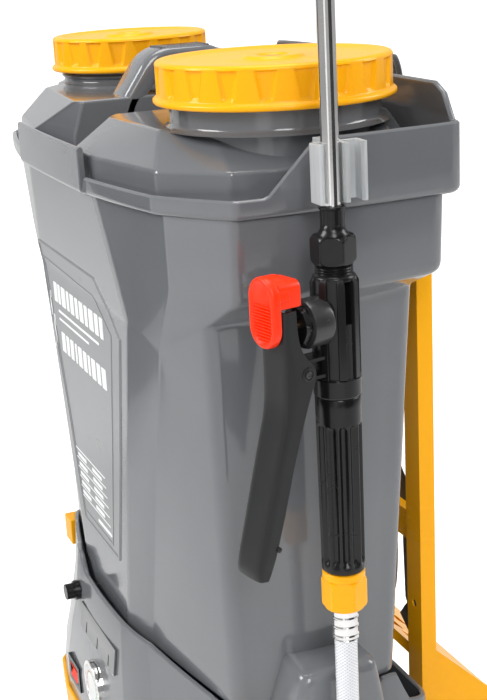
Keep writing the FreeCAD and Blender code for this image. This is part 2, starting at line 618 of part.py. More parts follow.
def helix_spring(radius, wire, pitch, height, start, axis):
    """A round-wire compression spring."""
    path = Part.makeHelix(pitch, height, radius)
    section = Part.Wire(Part.makeCircle(wire, V(radius, 0, 0), Y))
    coil = Part.Wire(path.Edges).makePipeShell([section], True, True)
    coil.rotate(V(0, 0, 0), Z.cross(V(*axis)), 90)
    coil.translate(V(*start))
    return coil


def turned_handset(shape):
    """A handset part, drawn with its trigger towards -Y, turned to where the trigger really points."""
    shape = shape.copy()
    shape.rotate(LANCE, Z, HANDSET_TURN)
    return shape


def hose_parts():
    pin = rod(4, (LANCE.x, -26.5, SWIVEL_Z), (LANCE.x, -3.5, SWIVEL_Z))
    save("outlet_pin", pin)
    swivel = rod(9, (LANCE.x, -22.2, SWIVEL_Z), (LANCE.x, -7.8, SWIVEL_Z))
    swivel = swivel.fuse([rod(7, on_lance(SWIVEL_Z), on_lance(128)), rod(4.2, on_lance(128), on_lance(150))])
    swivel = swivel.cut(rod(4 + SLIDE_CLEAR, (LANCE.x, -30, SWIVEL_Z), (LANCE.x, 0, SWIVEL_Z)))
    save("hose_swivel", swivel.cut(rod(2.6, on_lance(118), on_lance(151))))
    save("delivery_hose", lance_pipe(6.4, 4.2, 128, 262))
    ferrule = [(6.4, 242), (7.3, 242.6), (7.3, 244), (6.9, 244.6), (6.9, 249), (7.6, 249.6), (7.6, 251),
               (6.9, 251.6), (6.9, 257), (7.6, 257.6), (7.6, 259.4), (7, 260.4), (6.4, 260.4)]
    save("crimp_ferrule", turned(ferrule, LANCE))
    nut = [(7.8, 261), (10.4, 261), (11.75, 263), (11.75, 283), (10.6, 283.6), (9.6, 283), (9.6, 270), (7.8, 268)]
    save("hose_nut", turned(nut, LANCE))
    save("hose_tail", lance_pipe(4.2, 2.8, 236, 268).fuse(lance_pipe(7.6, 2.8, 262, 269.9)))


def valve_parts():
    save("valve_body", turned_handset(valve_body()))
    bonnet = along_stem(8, 18, 22).fuse(hexagon(20, reach(22, STEM_Z), reach(26, STEM_Z)))
    save("bonnet_nut", turned_handset(bonnet.cut(along_stem(2.5 + SLIDE_CLEAR, 15, 30))))
    head = (41.5, 43.1)
    stem = along_stem(2.5, 5, head[1]).fuse([along_stem(7.6, 3, 5), along_stem(3.9, *head)])
    save("valve_stem", turned_handset(stem))
    seal = along_stem(7.4, -0.5, 2.9).cut(along_stem(4.5, -1, 3))
    save("valve_seal", turned_handset(seal))
    spring = helix_spring(5.2, 0.7, 3.4, 10.6, reach(6.2, STEM_Z), (0, -1, 0))
    save("valve_spring", turned_handset(spring))
    save("lever", turned_handset(lever()))
    save("lever_pin", turned_handset(across(2, *LEVER_PIN, LEVER_HALF + 1)))
    save("latch", turned_handset(latch()))
    save("latch_pin", turned_handset(across(1.5, *LATCH_PIN, 9.9)))


def lance_parts():
    nut = hexagon(21, on_lance(451.5), on_lance(469)).cut(rod(6.4, on_lance(440), on_lance(480)))
    save("lance_nut", turned_handset(nut.cut(rod(10, on_lance(440), on_lance(452)))))
    save("lance_gland", lance_pipe(6.35, TUBE_R, 452, 480.5))
    save("lance_tube", lance_pipe(TUBE_R, 4.0, 453, 905))
    save("lance_inner_tube", lance_pipe(4.0 - SLIDE_CLEAR, 3.1, 560, 945))
    bore = TUBE_R + SLIDE_CLEAR
    collet = [(bore, 890), (6.6, 890), (7.4, 894), (7.4, 914), (6, 918), (4.05, 918), (4.05, 905.1),
              (bore, 905.1)]
    save("collet_nut", turned(collet, LANCE))


def nozzle_parts():
    """The elbow, bent towards the control side, and its adjustable cap."""
    bend = V(*on_lance(950))
    tip = bend + V(0, -22, 20)
    elbow = rod(5.6, on_lance(930), tuple(bend))
    elbow = elbow.fuse([Part.makeSphere(5.6, bend), rod(5.0, tuple(bend), tuple(tip))])
    bores = [rod(3.95, on_lance(925), on_lance(945)), rod(1.8, on_lance(944), tuple(bend)),
             rod(1.8, tuple(bend), tuple(tip + V(0, -4, 4)))]
    save("nozzle_elbow", elbow.cut(bores))
    aim = V(0, -22, 20).normalize()
    back, front = tip - aim * 9, tip + aim * 5
    cap = rod(8, tuple(back), tuple(front)).cut(rod(5.05, tuple(back - aim), tuple(tip + aim * 1.2)))
    save("nozzle_cap", cap.cut(rod(0.6, tuple(tip), tuple(front + aim))))


os.makedirs("parts", exist_ok=True)
tank_parts()
base_parts()
controls()
harness()
save("lance_clip", clip())
hose_parts()
save("grip", turned_handset(grip()))
valve_parts()
lance_parts()
nozzle_parts()
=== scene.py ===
from math import ceil, copysign, cos, degrees, pi, radians, sin, sqrt, tan

import bmesh
import bpy
from mathutils import Matrix, Vector


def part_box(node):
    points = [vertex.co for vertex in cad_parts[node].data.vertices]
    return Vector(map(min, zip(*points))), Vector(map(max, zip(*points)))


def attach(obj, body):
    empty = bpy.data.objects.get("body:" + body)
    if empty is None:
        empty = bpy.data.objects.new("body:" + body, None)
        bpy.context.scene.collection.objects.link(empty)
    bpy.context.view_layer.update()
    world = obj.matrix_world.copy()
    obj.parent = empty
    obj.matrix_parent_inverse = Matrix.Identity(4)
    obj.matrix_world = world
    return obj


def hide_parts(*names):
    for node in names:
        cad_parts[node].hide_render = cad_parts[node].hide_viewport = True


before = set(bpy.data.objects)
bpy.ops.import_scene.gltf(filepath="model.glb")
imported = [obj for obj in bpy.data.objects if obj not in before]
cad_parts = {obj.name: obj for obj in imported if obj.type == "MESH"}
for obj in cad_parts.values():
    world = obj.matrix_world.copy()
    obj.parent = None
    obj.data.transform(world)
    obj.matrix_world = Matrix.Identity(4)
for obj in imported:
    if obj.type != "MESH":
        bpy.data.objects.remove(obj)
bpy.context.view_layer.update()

# Battery knapsack sprayer. Shapes are worked out in millimetres in the CAD frame and stored in metres.
# x = 0 is the tank's symmetry plane, -y the control side, +y the wearer's back, z = 0 the ground.
MM = 0.001


# ---- Places taken from the frame ----
def node_box(node):
    """Lowest and highest corner of a CAD node, in millimetres."""
    low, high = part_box(node)
    return low / MM, high / MM


def node_middle(node):
    low, high = node_box(node)
    return (low + high) / 2


BIG_CAP = node_middle("big_cap")
SMALL_CAP = node_middle("small_cap")
LANCE = node_middle("lance_tube")
LANCE_X, LANCE_Y = LANCE.x, LANCE.y

TRAY_FLOOR = 484.0
TRAY_BOTTOM = 478.0
COLLAR_T = 3.5

# Half outlines of the tank from the control side round to the wearer's side: (x, y, z) per corner
BODY_FOOT = [(44, -88, 176.5), (71, -79.5, 176.5), (171, -61, 176.5), (173, 45, 176.5)]
BODY_HEAD = [(98, -88.5, 402), (128, -80, 392), (170, -65.5, 414), (176, 61, 422)]
BAND_FOOT = [(98.5, -89, 405), (154, -80, 433), (197, -58, 430), (195, 69, 433)]
BAND_HEAD = [(76, -97, 479), (161, -82.5, 479), (198, -58, 479), (196, 70, 479)]


# ---- Mesh helpers ----
def new_mesh(name, points, faces, material, body, crease=35.0):
    """A mesh piece from millimetre points, smooth apart from edges sharper than crease degrees."""
    mesh = bpy.data.meshes.new(name)
    mesh.from_pydata([tuple(Vector(p) * MM) for p in points], [], faces)
    mesh.validate()
    tidy = bmesh.new()
    tidy.from_mesh(mesh)
    bmesh.ops.remove_doubles(tidy, verts=tidy.verts, dist=1e-6)
    bmesh.ops.recalc_face_normals(tidy, faces=tidy.faces)
    tidy.to_mesh(mesh)
    tidy.free()
    mesh.shade_smooth()
    mesh.set_sharp_from_angle(angle=radians(crease))
    piece = bpy.data.objects.new(name, mesh)
    bpy.context.scene.collection.objects.link(piece)
    mesh.materials.append(MATERIALS[material])
    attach(piece, body)
    return piece


def bevel(piece, width, segments=3, angle=30.0):
    """Rounded edges with the bevelled faces' normals kept flat."""
    step = piece.modifiers.new("edge_round", "BEVEL")
    step.width = width * MM
    step.segments = segments
    step.limit_method = "ANGLE"
    step.angle_limit = radians(angle)
    step.harden_normals = True
    step.loop_slide = False
    step.use_clamp_overlap = True
    return piece


def skin_rings(rings, close_ends=(True, True), closed=True):
    """Points and faces of a skin through rings of matching points."""
    count = len(rings[0])
    points = [p for ring in rings for p in ring]
    faces = []
    last = count if closed else count - 1
    for r in range(len(rings) - 1):
        for i in range(last):
            j = (i + 1) % count
            faces.append((r * count + i, r * count + j, (r + 1) * count + j, (r + 1) * count + i))
    if close_ends[0]:
        faces.append(tuple(range(count)))
    if close_ends[1]:
        faces.append(tuple(reversed(range((len(rings) - 1) * count, len(rings) * count))))
    return points, faces


def joined(skins):
    """One set of points and faces from several."""
    points, faces = [], []
    for some_points, some_faces in skins:
        faces += [tuple(k + len(points) for k in face) for face in some_faces]
        points += some_points
    return points, faces


def whole(half):
    """A half outline and its mirror image, as one closed outline."""
    return list(half) + [(-p[0],) + tuple(p[1:]) for p in reversed(half)]


def rounded_outline(corners, radii, bulges, arc_steps=6, edge_steps=10):
    """A closed outline with rounded corners and gently bowed edges.

    corners are (x, y, z); radii has one value per corner; bulges the bow of the edge after it."""
    count = len(corners)
    points = [Vector(c) for c in corners]
    outline = []
    for i in range(count):
        before, here, after = points[i - 1], points[i], points[(i + 1) % count]
        beyond = points[(i + 2) % count]
        to_before, to_after = (before - here), (after - here)
        turn = pi - to_before.xy.angle(to_after.xy)
        reach = radii[i] * tan(turn / 2)
        start = here + to_before.normalized() * reach
        end = here + to_after.normalized() * reach
        for k in range(arc_steps + 1):
            t = k / arc_steps
            outline.append(start * (1 - t) ** 2 + here * 2 * t * (1 - t) + end * t ** 2)
        next_turn = pi - (here - after).xy.angle((beyond - after).xy)
        next_reach = radii[(i + 1) % count] * tan(next_turn / 2)
        stop = after + (here - after).normalized() * next_reach
        along = (stop - end)
        side = Vector((along.y, -along.x, 0)).normalized()
        for k in range(1, edge_steps):
            t = k / edge_steps
            outline.append(end + along * t + side * (bulges[i] * 4 * t * (1 - t)))
    return outline


def shrink(outline, distance):
    """The outline moved inwards by distance along its normals."""
    count = len(outline)
    moved = []
    for i in range(count):
        tangent = outline[(i + 1) % count] - outline[i - 1]
        inward = Vector((-tangent.y, tangent.x, 0))
        if inward.length > 1e-9:
            inward.normalize()
        moved.append(outline[i] + inward * distance)
    return moved


def lathe(profile, centre, steps=96, axis="z", radius_change=None):
    """Rings of a turned shape from (radius, height) pairs; radius_change(angle, radius, height)."""
    rings = []
    for radius, height in profile:
        ring = []
        for i in range(steps):
            turn = 2 * pi * i / steps
            r = radius_change(turn, radius, height) if radius_change else radius
            a, b = r * cos(turn), r * sin(turn)
            if axis == "z":
                ring.append(Vector((centre[0] + a, centre[1] + b, centre[2] + height)))
            elif axis == "y":
                ring.append(Vector((centre[0] + a, centre[1] + height, centre[2] - b)))
            else:
                ring.append(Vector((centre[0] + height, centre[1] + a, centre[2] + b)))
        rings.append(ring)
    return rings


def turned_piece(name, profile, centre, material, body, steps=96, axis="z", radius_change=None,
                 close_ends=(True, True), crease=35.0):
    rings = lathe(profile, centre, steps, axis, radius_change)
    return new_mesh(name, *skin_rings(rings, close_ends), material, body, crease)


def smooth_step(t):
    t = min(max(t, 0.0), 1.0)
    return t * t * (3 - 2 * t)


def fillet_path(corners, radius, steps=8):
    """A polyline of Vectors with its inner corners rounded."""
    corners = [Vector(c) for c in corners]
    path = [corners[0]]
    for before, here, after in zip(corners, corners[1:], corners[2:]):
        a, b = (before - here), (after - here)
        reach = min(radius, a.length * 0.49, b.length * 0.49)
        start, end = here + a.normalized() * reach, here + b.normalized() * reach
        for k in range(steps + 1):
            t = k / steps
            path.append(start * (1 - t) ** 2 + here * 2 * t * (1 - t) + end * t ** 2)
    path.append(corners[-1])
    return path


def sweep(path, section, side):
    """Rings of a section of (across, out) pairs carried along path; side is the across direction."""
    rings = []
    side = Vector(side).normalized()
    for i, point in enumerate(path):
        ahead = path[min(i + 1, len(path) - 1)] - path[max(i - 1, 0)]
        out = ahead.cross(side).normalized()
        rings.append([point + side * a + out * b for a, b in section(i)])
    return rings


def round_rectangle(x0, x1, y0, y1, radius, steps):
    """A rectangle with round corners as (x, y) pairs."""
    corners = ((x1 - radius, y1 - radius), (x0 + radius, y1 - radius), (x0 + radius, y0 + radius),
               (x1 - radius, y0 + radius))
    return [(x + radius * cos(turn), y + radius * sin(turn)) for quarter, (x, y) in enumerate(corners)
            for turn in (pi / 2 * (quarter + k / steps) for k in range(steps + 1))]


def round_box_section(width, height, radius, steps=4):
    """A rounded rectangle about its middle, as (across, out) pairs."""
    return round_rectangle(-width / 2, width / 2, -height / 2, height / 2, radius, steps)


def table_value(table, t):
    """The value at t from (t, value) pairs, by straight lines between them."""
    for (t0, v0), (t1, v1) in zip(table, table[1:]):
        if t <= t1:
            return v0 + (v1 - v0) * (t - t0) / (t1 - t0)
    return table[-1][1]


# ---- Materials. Colours are linear RGB; texture scales are per metre of object space. ----
class Shader:
    """A node material under construction, with object coordinates ready to use."""

    def __init__(self, name, colour, roughness, metallic=0.0):
        self.material = bpy.data.materials.new(name)
        self.material.use_nodes = True
        self.tree = self.material.node_tree
        self.surface = self.tree.nodes["Principled BSDF"]
        self.surface.inputs["Base Color"].default_value = (*colour, 1)
        self.surface.inputs["Roughness"].default_value = roughness
        self.surface.inputs["Metallic"].default_value = metallic
        self.material.diffuse_color = (*colour, 1)
        self.colour = colour
        self.place = self.add("ShaderNodeTexCoord").outputs["Object"]

    def add(self, kind, **values):
        """A node with its input values set by name, or linked where the value is a socket."""
        node = self.tree.nodes.new(kind)
        for key, value in values.items():
            if hasattr(node, key) and key not in node.inputs:
                setattr(node, key, value)
                continue
            self.feed(node.inputs[key.replace("_", " ")] if key not in node.inputs else node.inputs[key],
                      value)
        return node

    def feed(self, socket, value):
        if isinstance(value, bpy.types.NodeSocket):
            self.tree.links.new(value, socket)
        else:
            socket.default_value = value

    def put(self, name, value):
        self.feed(self.surface.inputs[name], value)

    def math(self, operation, a, b=0.0, clamp=False):
        node = self.tree.nodes.new("ShaderNodeMath")
        node.operation = operation
        node.use_clamp = clamp
        self.feed(node.inputs[0], a)
        self.feed(node.inputs[1], b)
        return node.outputs[0]

    def remap(self, value, low, high, to_low, to_high):
        node = self.tree.nodes.new("ShaderNodeMapRange")
        for socket, v in zip(list(node.inputs)[:5], (value, low, high, to_low, to_high)):
            self.feed(socket, v)
        return node.outputs[0]

    def noise(self, scale, detail=3.0, roughness=0.5, vector=None):
        node = self.tree.nodes.new("ShaderNodeTexNoise")
        self.feed(node.inputs["Vector"], vector or self.place)
        node.inputs["Scale"].default_value = scale
        node.inputs["Detail"].default_value = detail
        node.inputs["Roughness"].default_value = roughness
        return node.outputs["Fac"]

    def stretched(self, x, y, z):
        """Object coordinates scaled per axis."""
        node = self.tree.nodes.new("ShaderNodeMapping")
        self.feed(node.inputs["Vector"], self.place)
        node.inputs["Scale"].default_value = (x, y, z)
        return node.outputs[0]

    def mix(self, share, a, b):
        node = self.tree.nodes.new("ShaderNodeMix")
        node.data_type = "RGBA"
        self.feed(node.inputs["Factor"], share)
        for socket, value in ((node.inputs["A"], a), (node.inputs["B"], b)):
            self.feed(socket, value if isinstance(value, bpy.types.NodeSocket) else (*value, 1))
        return node.outputs["Result"]

    def sharp_edge_mask(self):
        """0 on flats, 1 on the sharpest outer edges."""
        geometry = self.tree.nodes.new("ShaderNodeNewGeometry")
        return self.remap(geometry.outputs["Pointiness"], 0.53, 0.62, 0.0, 1.0)

    def bump(self, height, strength, distance, under=None):
        node = self.tree.nodes.new("ShaderNodeBump")
        node.inputs["Strength"].default_value = strength
        node.inputs["Distance"].default_value = distance
        self.feed(node.inputs["Height"], height)
        if under:
            self.feed(node.inputs["Normal"], under)
        return node.outputs[0]


def shade(colour, factor):
    return tuple(min(c * factor, 1.0) for c in colour)


def moulded(name, colour, roughness=0.3, grain=900.0, grain_depth=0.00004, waves=0.0006, edge=1.25,
            mottle=0.06, soft=0.0, coat=0.0, shine=0.5):
    """Moulded plastic: fine grain, slow waviness, slight mottling, handling marks and paler colour on sharp
    outer edges.
    """
    s = Shader(name, colour, roughness)
    cloud = s.noise(9.0, 4.0)
    speck = s.noise(260.0, 2.0)
    tint = s.mix(s.remap(cloud, 0.3, 0.7, 0.0, 1.0), shade(colour, 1 - mottle), shade(colour, 1 + mottle))
    tint = s.mix(s.math("MULTIPLY", s.remap(speck, 0.55, 0.75, 0.0, 1.0), 0.10), tint, shade(colour, 0.8))
    # Paler colour on the sharpest outer edges, found by pointiness.
    tint = s.mix(s.math("MULTIPLY", s.sharp_edge_mask(), 0.35), tint, shade(colour, edge))
    s.put("Base Color", tint)
    scuff = s.noise(1.0, 5.0, 0.6, s.stretched(45, 45, 160))
    rough = s.math("ADD", s.remap(cloud, 0.3, 0.7, roughness * 0.88, roughness * 1.12),
                   s.math("MULTIPLY", s.remap(scuff, 0.62, 0.75, 0.0, 1.0), 0.10))
    s.put("Roughness", rough)
    slow = s.bump(s.noise(14.0, 1.0), 0.35, waves)
    s.put("Normal", s.bump(s.noise(grain, 2.0), 0.25, grain_depth, slow))
    s.put("Coat Weight", coat)
    s.put("Specular IOR Level", shine)
    s.put("Subsurface Weight", soft)
    if soft:
        s.surface.inputs["Subsurface Radius"].default_value = (0.004, 0.0018, 0.0006)
        s.surface.inputs["Subsurface Scale"].default_value = 1.0
    return s.material


def polished(name, colour, roughness, across=(40, 40, 900)):
    """Metal with fine drawn lines and faint smudges."""
    s = Shader(name, colour, roughness, 1.0)
    lines = s.noise(1.0, 4.0, 0.6, s.stretched(*across))
    smudge = s.noise(35.0, 3.0)
    s.put("Roughness", s.math("ADD", s.remap(lines, 0.3, 0.7, roughness * 0.7, roughness * 1.4),
                              s.math("MULTIPLY", s.remap(smudge, 0.5, 0.8, 0.0, 1.0), 0.08)))
    s.put("Base Color", s.mix(s.remap(smudge, 0.3, 0.8, 0.0, 1.0), colour, shade(colour, 0.86)))
    s.put("Normal", s.bump(lines, 0.12, 0.00002))
    return s.material


def around_and_up(s, centre_x, centre_y):
    """Angle in turns about a vertical line, and height in metres."""
    split = s.add("ShaderNodeSeparateXYZ", Vector=s.place)
    across = s.math("SUBTRACT", split.outputs["X"], centre_x * MM)
    deep = s.math("SUBTRACT", split.outputs["Y"], centre_y * MM)
    return s.math("DIVIDE", s.math("ARCTAN2", deep, across), 2 * pi), split.outputs["Z"]


def braided(name):
    """Clear hose over a white braid: two sets of crossing strands wound round the hose."""
    white, gap = (0.84, 0.85, 0.87), (0.62, 0.64, 0.68)
    s = Shader(name, white, 0.18)
    turn, up = around_and_up(s, LANCE_X, LANCE_Y)
    starts, pitch = 16.0, 520.0
    strands = []
    for sign in (1.0, -1.0):
        phase = s.math("ADD", s.math("MULTIPLY", turn, starts), s.math("MULTIPLY", up, sign * pitch))
        strands.append(s.math("ABSOLUTE", s.math("SINE", s.math("MULTIPLY", phase, pi))))
    crossing = s.math("MAXIMUM", strands[0], strands[1])
    cover = s.remap(crossing, 0.80, 0.93, 0.0, 1.0)
    fibre = s.remap(s.noise(1500.0, 2.0), 0.3, 0.7, 0.92, 1.04)
    tint = s.mix(cover, gap, white)
    tone = s.add("ShaderNodeHueSaturation", Color=tint, Value=fibre)
    s.put("Base Color", tone.outputs["Color"])
    s.put("Normal", s.bump(cover, 0.5, 0.0004))
    s.put("Coat Weight", 0.8)
    s.put("Coat Roughness", 0.08)
    s.put("Roughness", s.remap(cover, 0.0, 1.0, 0.25, 0.5))
    s.put("Subsurface Weight", 0.15)
    s.surface.inputs["Subsurface Radius"].default_value = (0.003, 0.003, 0.003)
    return s.material


def frosted(name):
    """Milky translucent plastic with moulding streaks."""
    colour = (0.80, 0.82, 0.83)
    s = Shader(name, colour, 0.35)
    streak = s.noise(1.0, 3.0, 0.5, s.stretched(700, 700, 40))
    s.put("Base Color", s.mix(s.remap(streak, 0.3, 0.7, 0, 1), colour, shade(colour, 0.9)))
    s.put("Transmission Weight", 0.55)
    s.put("IOR", 1.49)
    s.put("Roughness", s.remap(streak, 0.3, 0.7, 0.30, 0.45))
    s.put("Subsurface Weight", 0.2)
    s.surface.inputs["Subsurface Radius"].default_value = (0.004, 0.004, 0.004)
    s.put("Normal", s.bump(streak, 0.2, 0.0001))
    return s.material


def woven(name, colour, thread=900.0, depth=0.0005, sheen=0.5, diagonal=False):
    """Woven polyester: crossing threads, sheen and slight fading."""
    s = Shader(name, colour, 0.85)
    split = s.add("ShaderNodeSeparateXYZ", Vector=s.place)
    a, b = split.outputs["X"], split.outputs["Z"]
    if diagonal:
        a, b = s.math("ADD", a, b), s.math("SUBTRACT", a, b)
    warp = s.math("ABSOLUTE", s.math("SINE", s.math("MULTIPLY", a, thread * pi)))
    weft = s.math("ABSOLUTE", s.math("SINE", s.math("MULTIPLY", b, thread * pi)))
    weave = s.math("MAXIMUM", warp, weft)
    fade = s.remap(s.noise(22.0, 4.0), 0.3, 0.7, 0.0, 1.0)
    s.put("Base Color", s.mix(s.math("MULTIPLY", fade, 0.4), s.mix(weave, shade(colour, 0.45), colour),
                              shade(colour, 1.5)))
    s.put("Normal", s.bump(weave, 0.6, depth))
    s.put("Sheen Weight", sheen)
    s.put("Sheen Roughness", 0.5)
    return s.material


def spacer_mesh(name, colour):
    """Air-mesh padding: rows of small open cells over a darker base."""
    s = Shader(name, colour, 0.9)
    cells = s.add("ShaderNodeTexVoronoi", Vector=s.stretched(1, 0.2, 1), Scale=330.0)
    cells.inputs["Randomness"].default_value = 0.12
    hole = s.remap(cells.outputs["Distance"], 0.12, 0.38, 0.0, 1.0)
    fade = s.remap(s.noise(18.0, 4.0), 0.3, 0.7, 0.85, 1.25)
    tone = s.add("ShaderNodeHueSaturation", Color=s.mix(hole, shade(colour, 0.25), colour), Value=fade)
    s.put("Base Color", tone.outputs["Color"])
    s.put("Normal", s.bump(hole, 0.8, 0.0009))
    s.put("Sheen Weight", 0.4)
    return s.material


def ribbed_grip(name, colour):
    """The handle's grip: the tank's plastic with a fine crossed texture, painted shade in its grooves and a
    painted highlight on its crests.
    """
    s = Shader(name, colour, 0.45)
    split = s.add("ShaderNodeSeparateXYZ", Vector=s.place)
    bars = s.math("SINE", s.math("MULTIPLY", s.math("ADD", split.outputs["Y"], split.outputs["X"]), 2600.0))
    cross = s.math("SINE", s.math("MULTIPLY", s.math("SUBTRACT", split.outputs["Y"], split.outputs["X"]),
                                  2600.0))
    height = s.math("MAXIMUM", bars, cross)
    # Painted shade in the grooves and a painted highlight on the crests of the crossed texture.
    s.put("Base Color", s.mix(s.remap(height, -0.4, 1.0, 0, 1), shade(colour, 0.55), shade(colour, 1.15)))
    s.put("Normal", s.bump(height, 0.7, 0.0006))
    return s.material


def gauge_card(name):
    """The dial: a pale card with a scale of plain ticks and a coloured arc."""
    s = Shader(name, (0.75, 0.76, 0.76), 0.5)
    middle = node_middle("gauge_lens")
    split = s.add("ShaderNodeSeparateXYZ", Vector=s.place)
    across = s.math("SUBTRACT", split.outputs["X"], middle.x * MM)
    up = s.math("SUBTRACT", split.outputs["Z"], middle.z * MM)
    radius = s.math("SQRT", s.math("ADD", s.math("MULTIPLY", across, across), s.math("MULTIPLY", up, up)))
    turn = s.math("ARCTAN2", across, up)
    tick = s.remap(s.math("COSINE", s.math("MULTIPLY", turn, 24.0)), 0.82, 0.92, 0.0, 1.0)
    band = s.math("MULTIPLY", s.remap(radius, 0.0112, 0.0114, 0, 1), s.remap(radius, 0.0142, 0.0144, 1, 0))
    spread = s.remap(s.math("ABSOLUTE", turn), 2.2, 2.25, 1, 0)
    marks = s.math("MULTIPLY", s.math("MULTIPLY", tick, band), spread)
    arc = s.math("MULTIPLY", s.remap(radius, 0.0098, 0.0100, 0, 1), s.remap(radius, 0.0108, 0.0110, 1, 0))
    arc = s.math("MULTIPLY", arc, spread)
    tint = s.mix(s.remap(turn, -2.2, 2.2, 0, 1), (0.7, 0.05, 0.02), (0.05, 0.45, 0.08))
    card = s.mix(arc, s.mix(s.remap(s.noise(40.0), 0.3, 0.7, 0, 1), (0.70, 0.71, 0.71), (0.78, 0.79, 0.79)),
                 tint)
    s.put("Base Color", s.mix(marks, card, (0.02, 0.02, 0.02)))
    return s.material


GREY = (0.140, 0.146, 0.156)
AMBER = (1.0, 0.43, 0.002)
BLACK = (0.006, 0.006, 0.0066)

MATERIALS = {
    "tank": moulded("tank_plastic", GREY, 0.13, grain=700.0, grain_depth=0.00003, waves=0.0010, coat=0.35),
    "base": moulded("base_plastic", (0.145, 0.151, 0.160), 0.16, coat=0.25),
    "panel": moulded("panel_plastic", (0.050, 0.053, 0.057), 0.12, waves=0.0012, coat=0.6),
    "amber": moulded("amber_plastic", AMBER, 0.30, grain=500.0, mottle=0.03, edge=1.1, soft=0.04, shine=0.25),
    "black": moulded("black_nylon", BLACK, 0.24, grain=1400.0, edge=3.0, mottle=0.15, shine=0.35),
    "satin": moulded("satin_nylon", (0.030, 0.030, 0.031), 0.26,  grain=1600.0, edge=1.5),
    "thread": moulded("sewing_thread", (0.05, 0.05, 0.052), 0.6),
    "lever": moulded("charcoal_nylon", (0.013, 0.0134, 0.0142), 0.42, shine=0.35, grain=2200.0,
                     grain_depth=0.0001, edge=1.8, mottle=0.10),
    "latch": moulded("latch_plastic", (0.93, 0.032, 0.001), 0.34, grain=1300.0, mottle=0.05, edge=1.2,
                     soft=0.06, shine=0.3),
    "rubber": moulded("soft_rubber", (0.018, 0.018, 0.018), 0.62, grain=1800.0, grain_depth=0.0001, edge=1.6),
    "basket": moulded("strainer_plastic", (0.78, 0.77, 0.72), 0.4, soft=0.2),
    "battery": moulded("battery_wrap", (0.03, 0.06, 0.17), 0.3),
    "label": moulded("label_film", (0.185, 0.19, 0.198), 0.30, grain=300.0, waves=0.0003, coat=0.3),
    "print": moulded("label_print", (0.80, 0.81, 0.82), 0.35, grain=300.0),
    "tube": moulded("vinyl_tube", (0.55, 0.58, 0.60), 0.2, coat=0.5),
    "chrome": polished("polished_tube", (0.86, 0.85, 0.84), 0.07),
    "steel": polished("zinc_steel", (0.62, 0.62, 0.63), 0.24, (300, 300, 300)),
    "brass": polished("machined_brass", (0.78, 0.55, 0.24), 0.22, (60, 60, 900)),
    "hose": braided("braided_hose"),
    "clip": frosted("frosted_clip"),
    "padding": spacer_mesh("air_mesh", (0.030, 0.031, 0.033)),
    "webbing": woven("strap_webbing", (0.022, 0.022, 0.024), 520.0, 0.0006, diagonal=True),
    "binding": woven("edge_binding", (0.016, 0.016, 0.017), 800.0, 0.0003),
    "grip": ribbed_grip("handle_grip", (0.085, 0.089, 0.094)),
    "card": gauge_card("gauge_card"),
}


# ---- Tank ----
BODY_RADII = [24, 20, 12, 12]      # at the corners of the half outline, from the control side round
BODY_BOW = [0.3, 0.6, 7.0]         # of the edges between them
BAND_RADII = [70, 10, 8, 10]
BAND_BOW = [0.5, 0.5, 2.0]
NECK_TOP = 545.0
BIG_NECK_R, SMALL_NECK_R = 60.0, 49.0
BLOCK_FOOT = [(32, -80), (70, -93), (149.6, -82), (181.5, -52), (187, -18), (187, 54), (150, 73), (32, 73)]
BLOCK_TOP = [(32, -72), (36, -78), (121, -69), (147, -46.6), (152, -18), (152, 50), (127, 70), (32, 70)]


def mirrored(values):
    return list(values) + list(reversed(values))


def closed_bows(half, back, front):
    """Bows of all the edges of a mirrored outline, from the bows of one half's edges."""
    return list(half) + [back] + list(reversed(half)) + [front]


def between(a, b, t):
    return [tuple(p * (1 - t) + q * t for p, q in zip(u, v)) for u, v in zip(a, b)]


def soft_rings(rings, rounding, steps=4):
    """Rings with the turn at each inner ring rounded by the given reach, in millimetres."""
    result = [rings[0]]
    for before, here, after, reach in zip(rings, rings[1:], rings[2:], rounding):
        if reach <= 0:
            result.append(here)
            continue
        starts, ends = [], []
        for a, b, c in zip(before, here, after):
            up, down = a - b, c - b
            starts.append(b + up.normalized() * min(reach, up.length * 0.48) if up.length > 1e-6 else b)
            ends.append(b + down.normalized() * min(reach, down.length * 0.48) if down.length > 1e-6 else b)
        for k in range(steps + 1):
            t = k / steps
            result.append([s * (1 - t) ** 2 + b * 2 * t * (1 - t) + e * t ** 2
                           for s, b, e in zip(starts, here, ends)])
    return result + [rings[-1]]


def body_ring(half):
    return rounded_outline(whole(half), mirrored(BODY_RADII), closed_bows(BODY_BOW, 3, 0), 8, 14)


def band_ring(half):
    return rounded_outline(whole(half), mirrored(BAND_RADII), closed_bows(BAND_BOW, 1, 0), 8, 14)


def tank_body():
    levels = 12
    rings = [shrink(body_ring(BODY_FOOT), 6)]
    rings += [body_ring(between(BODY_FOOT, BODY_HEAD, k / levels)) for k in range(levels + 1)]
    rounding = [3] + [0] * (levels - 1) + [4]
    rings += [band_ring(BAND_FOOT), band_ring(between(BAND_FOOT, BAND_HEAD, 0.5)), band_ring(BAND_HEAD)]
    rounding += [5, 0]
    piece = new_mesh("tank_body", *skin_rings(soft_rings(rings, rounding)), "tank", "chassis", 50)
    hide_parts("tank_shell")


def collar_height(x, y):
    """Top of the tray's wall."""
    x = abs(x)
    if y < -95 and x < 77:
        return table_value([(0, 504), (72.9, 504), (73.4, 481), (74.2, 481), (76.5, 487)], x)
    if y < 75:
        return min(515, max(487, 487 + (y + 40)))
    return 534 if x <= 174 else table_value([(174, 535), (182, 527), (184, 517), (186, 515)], x)


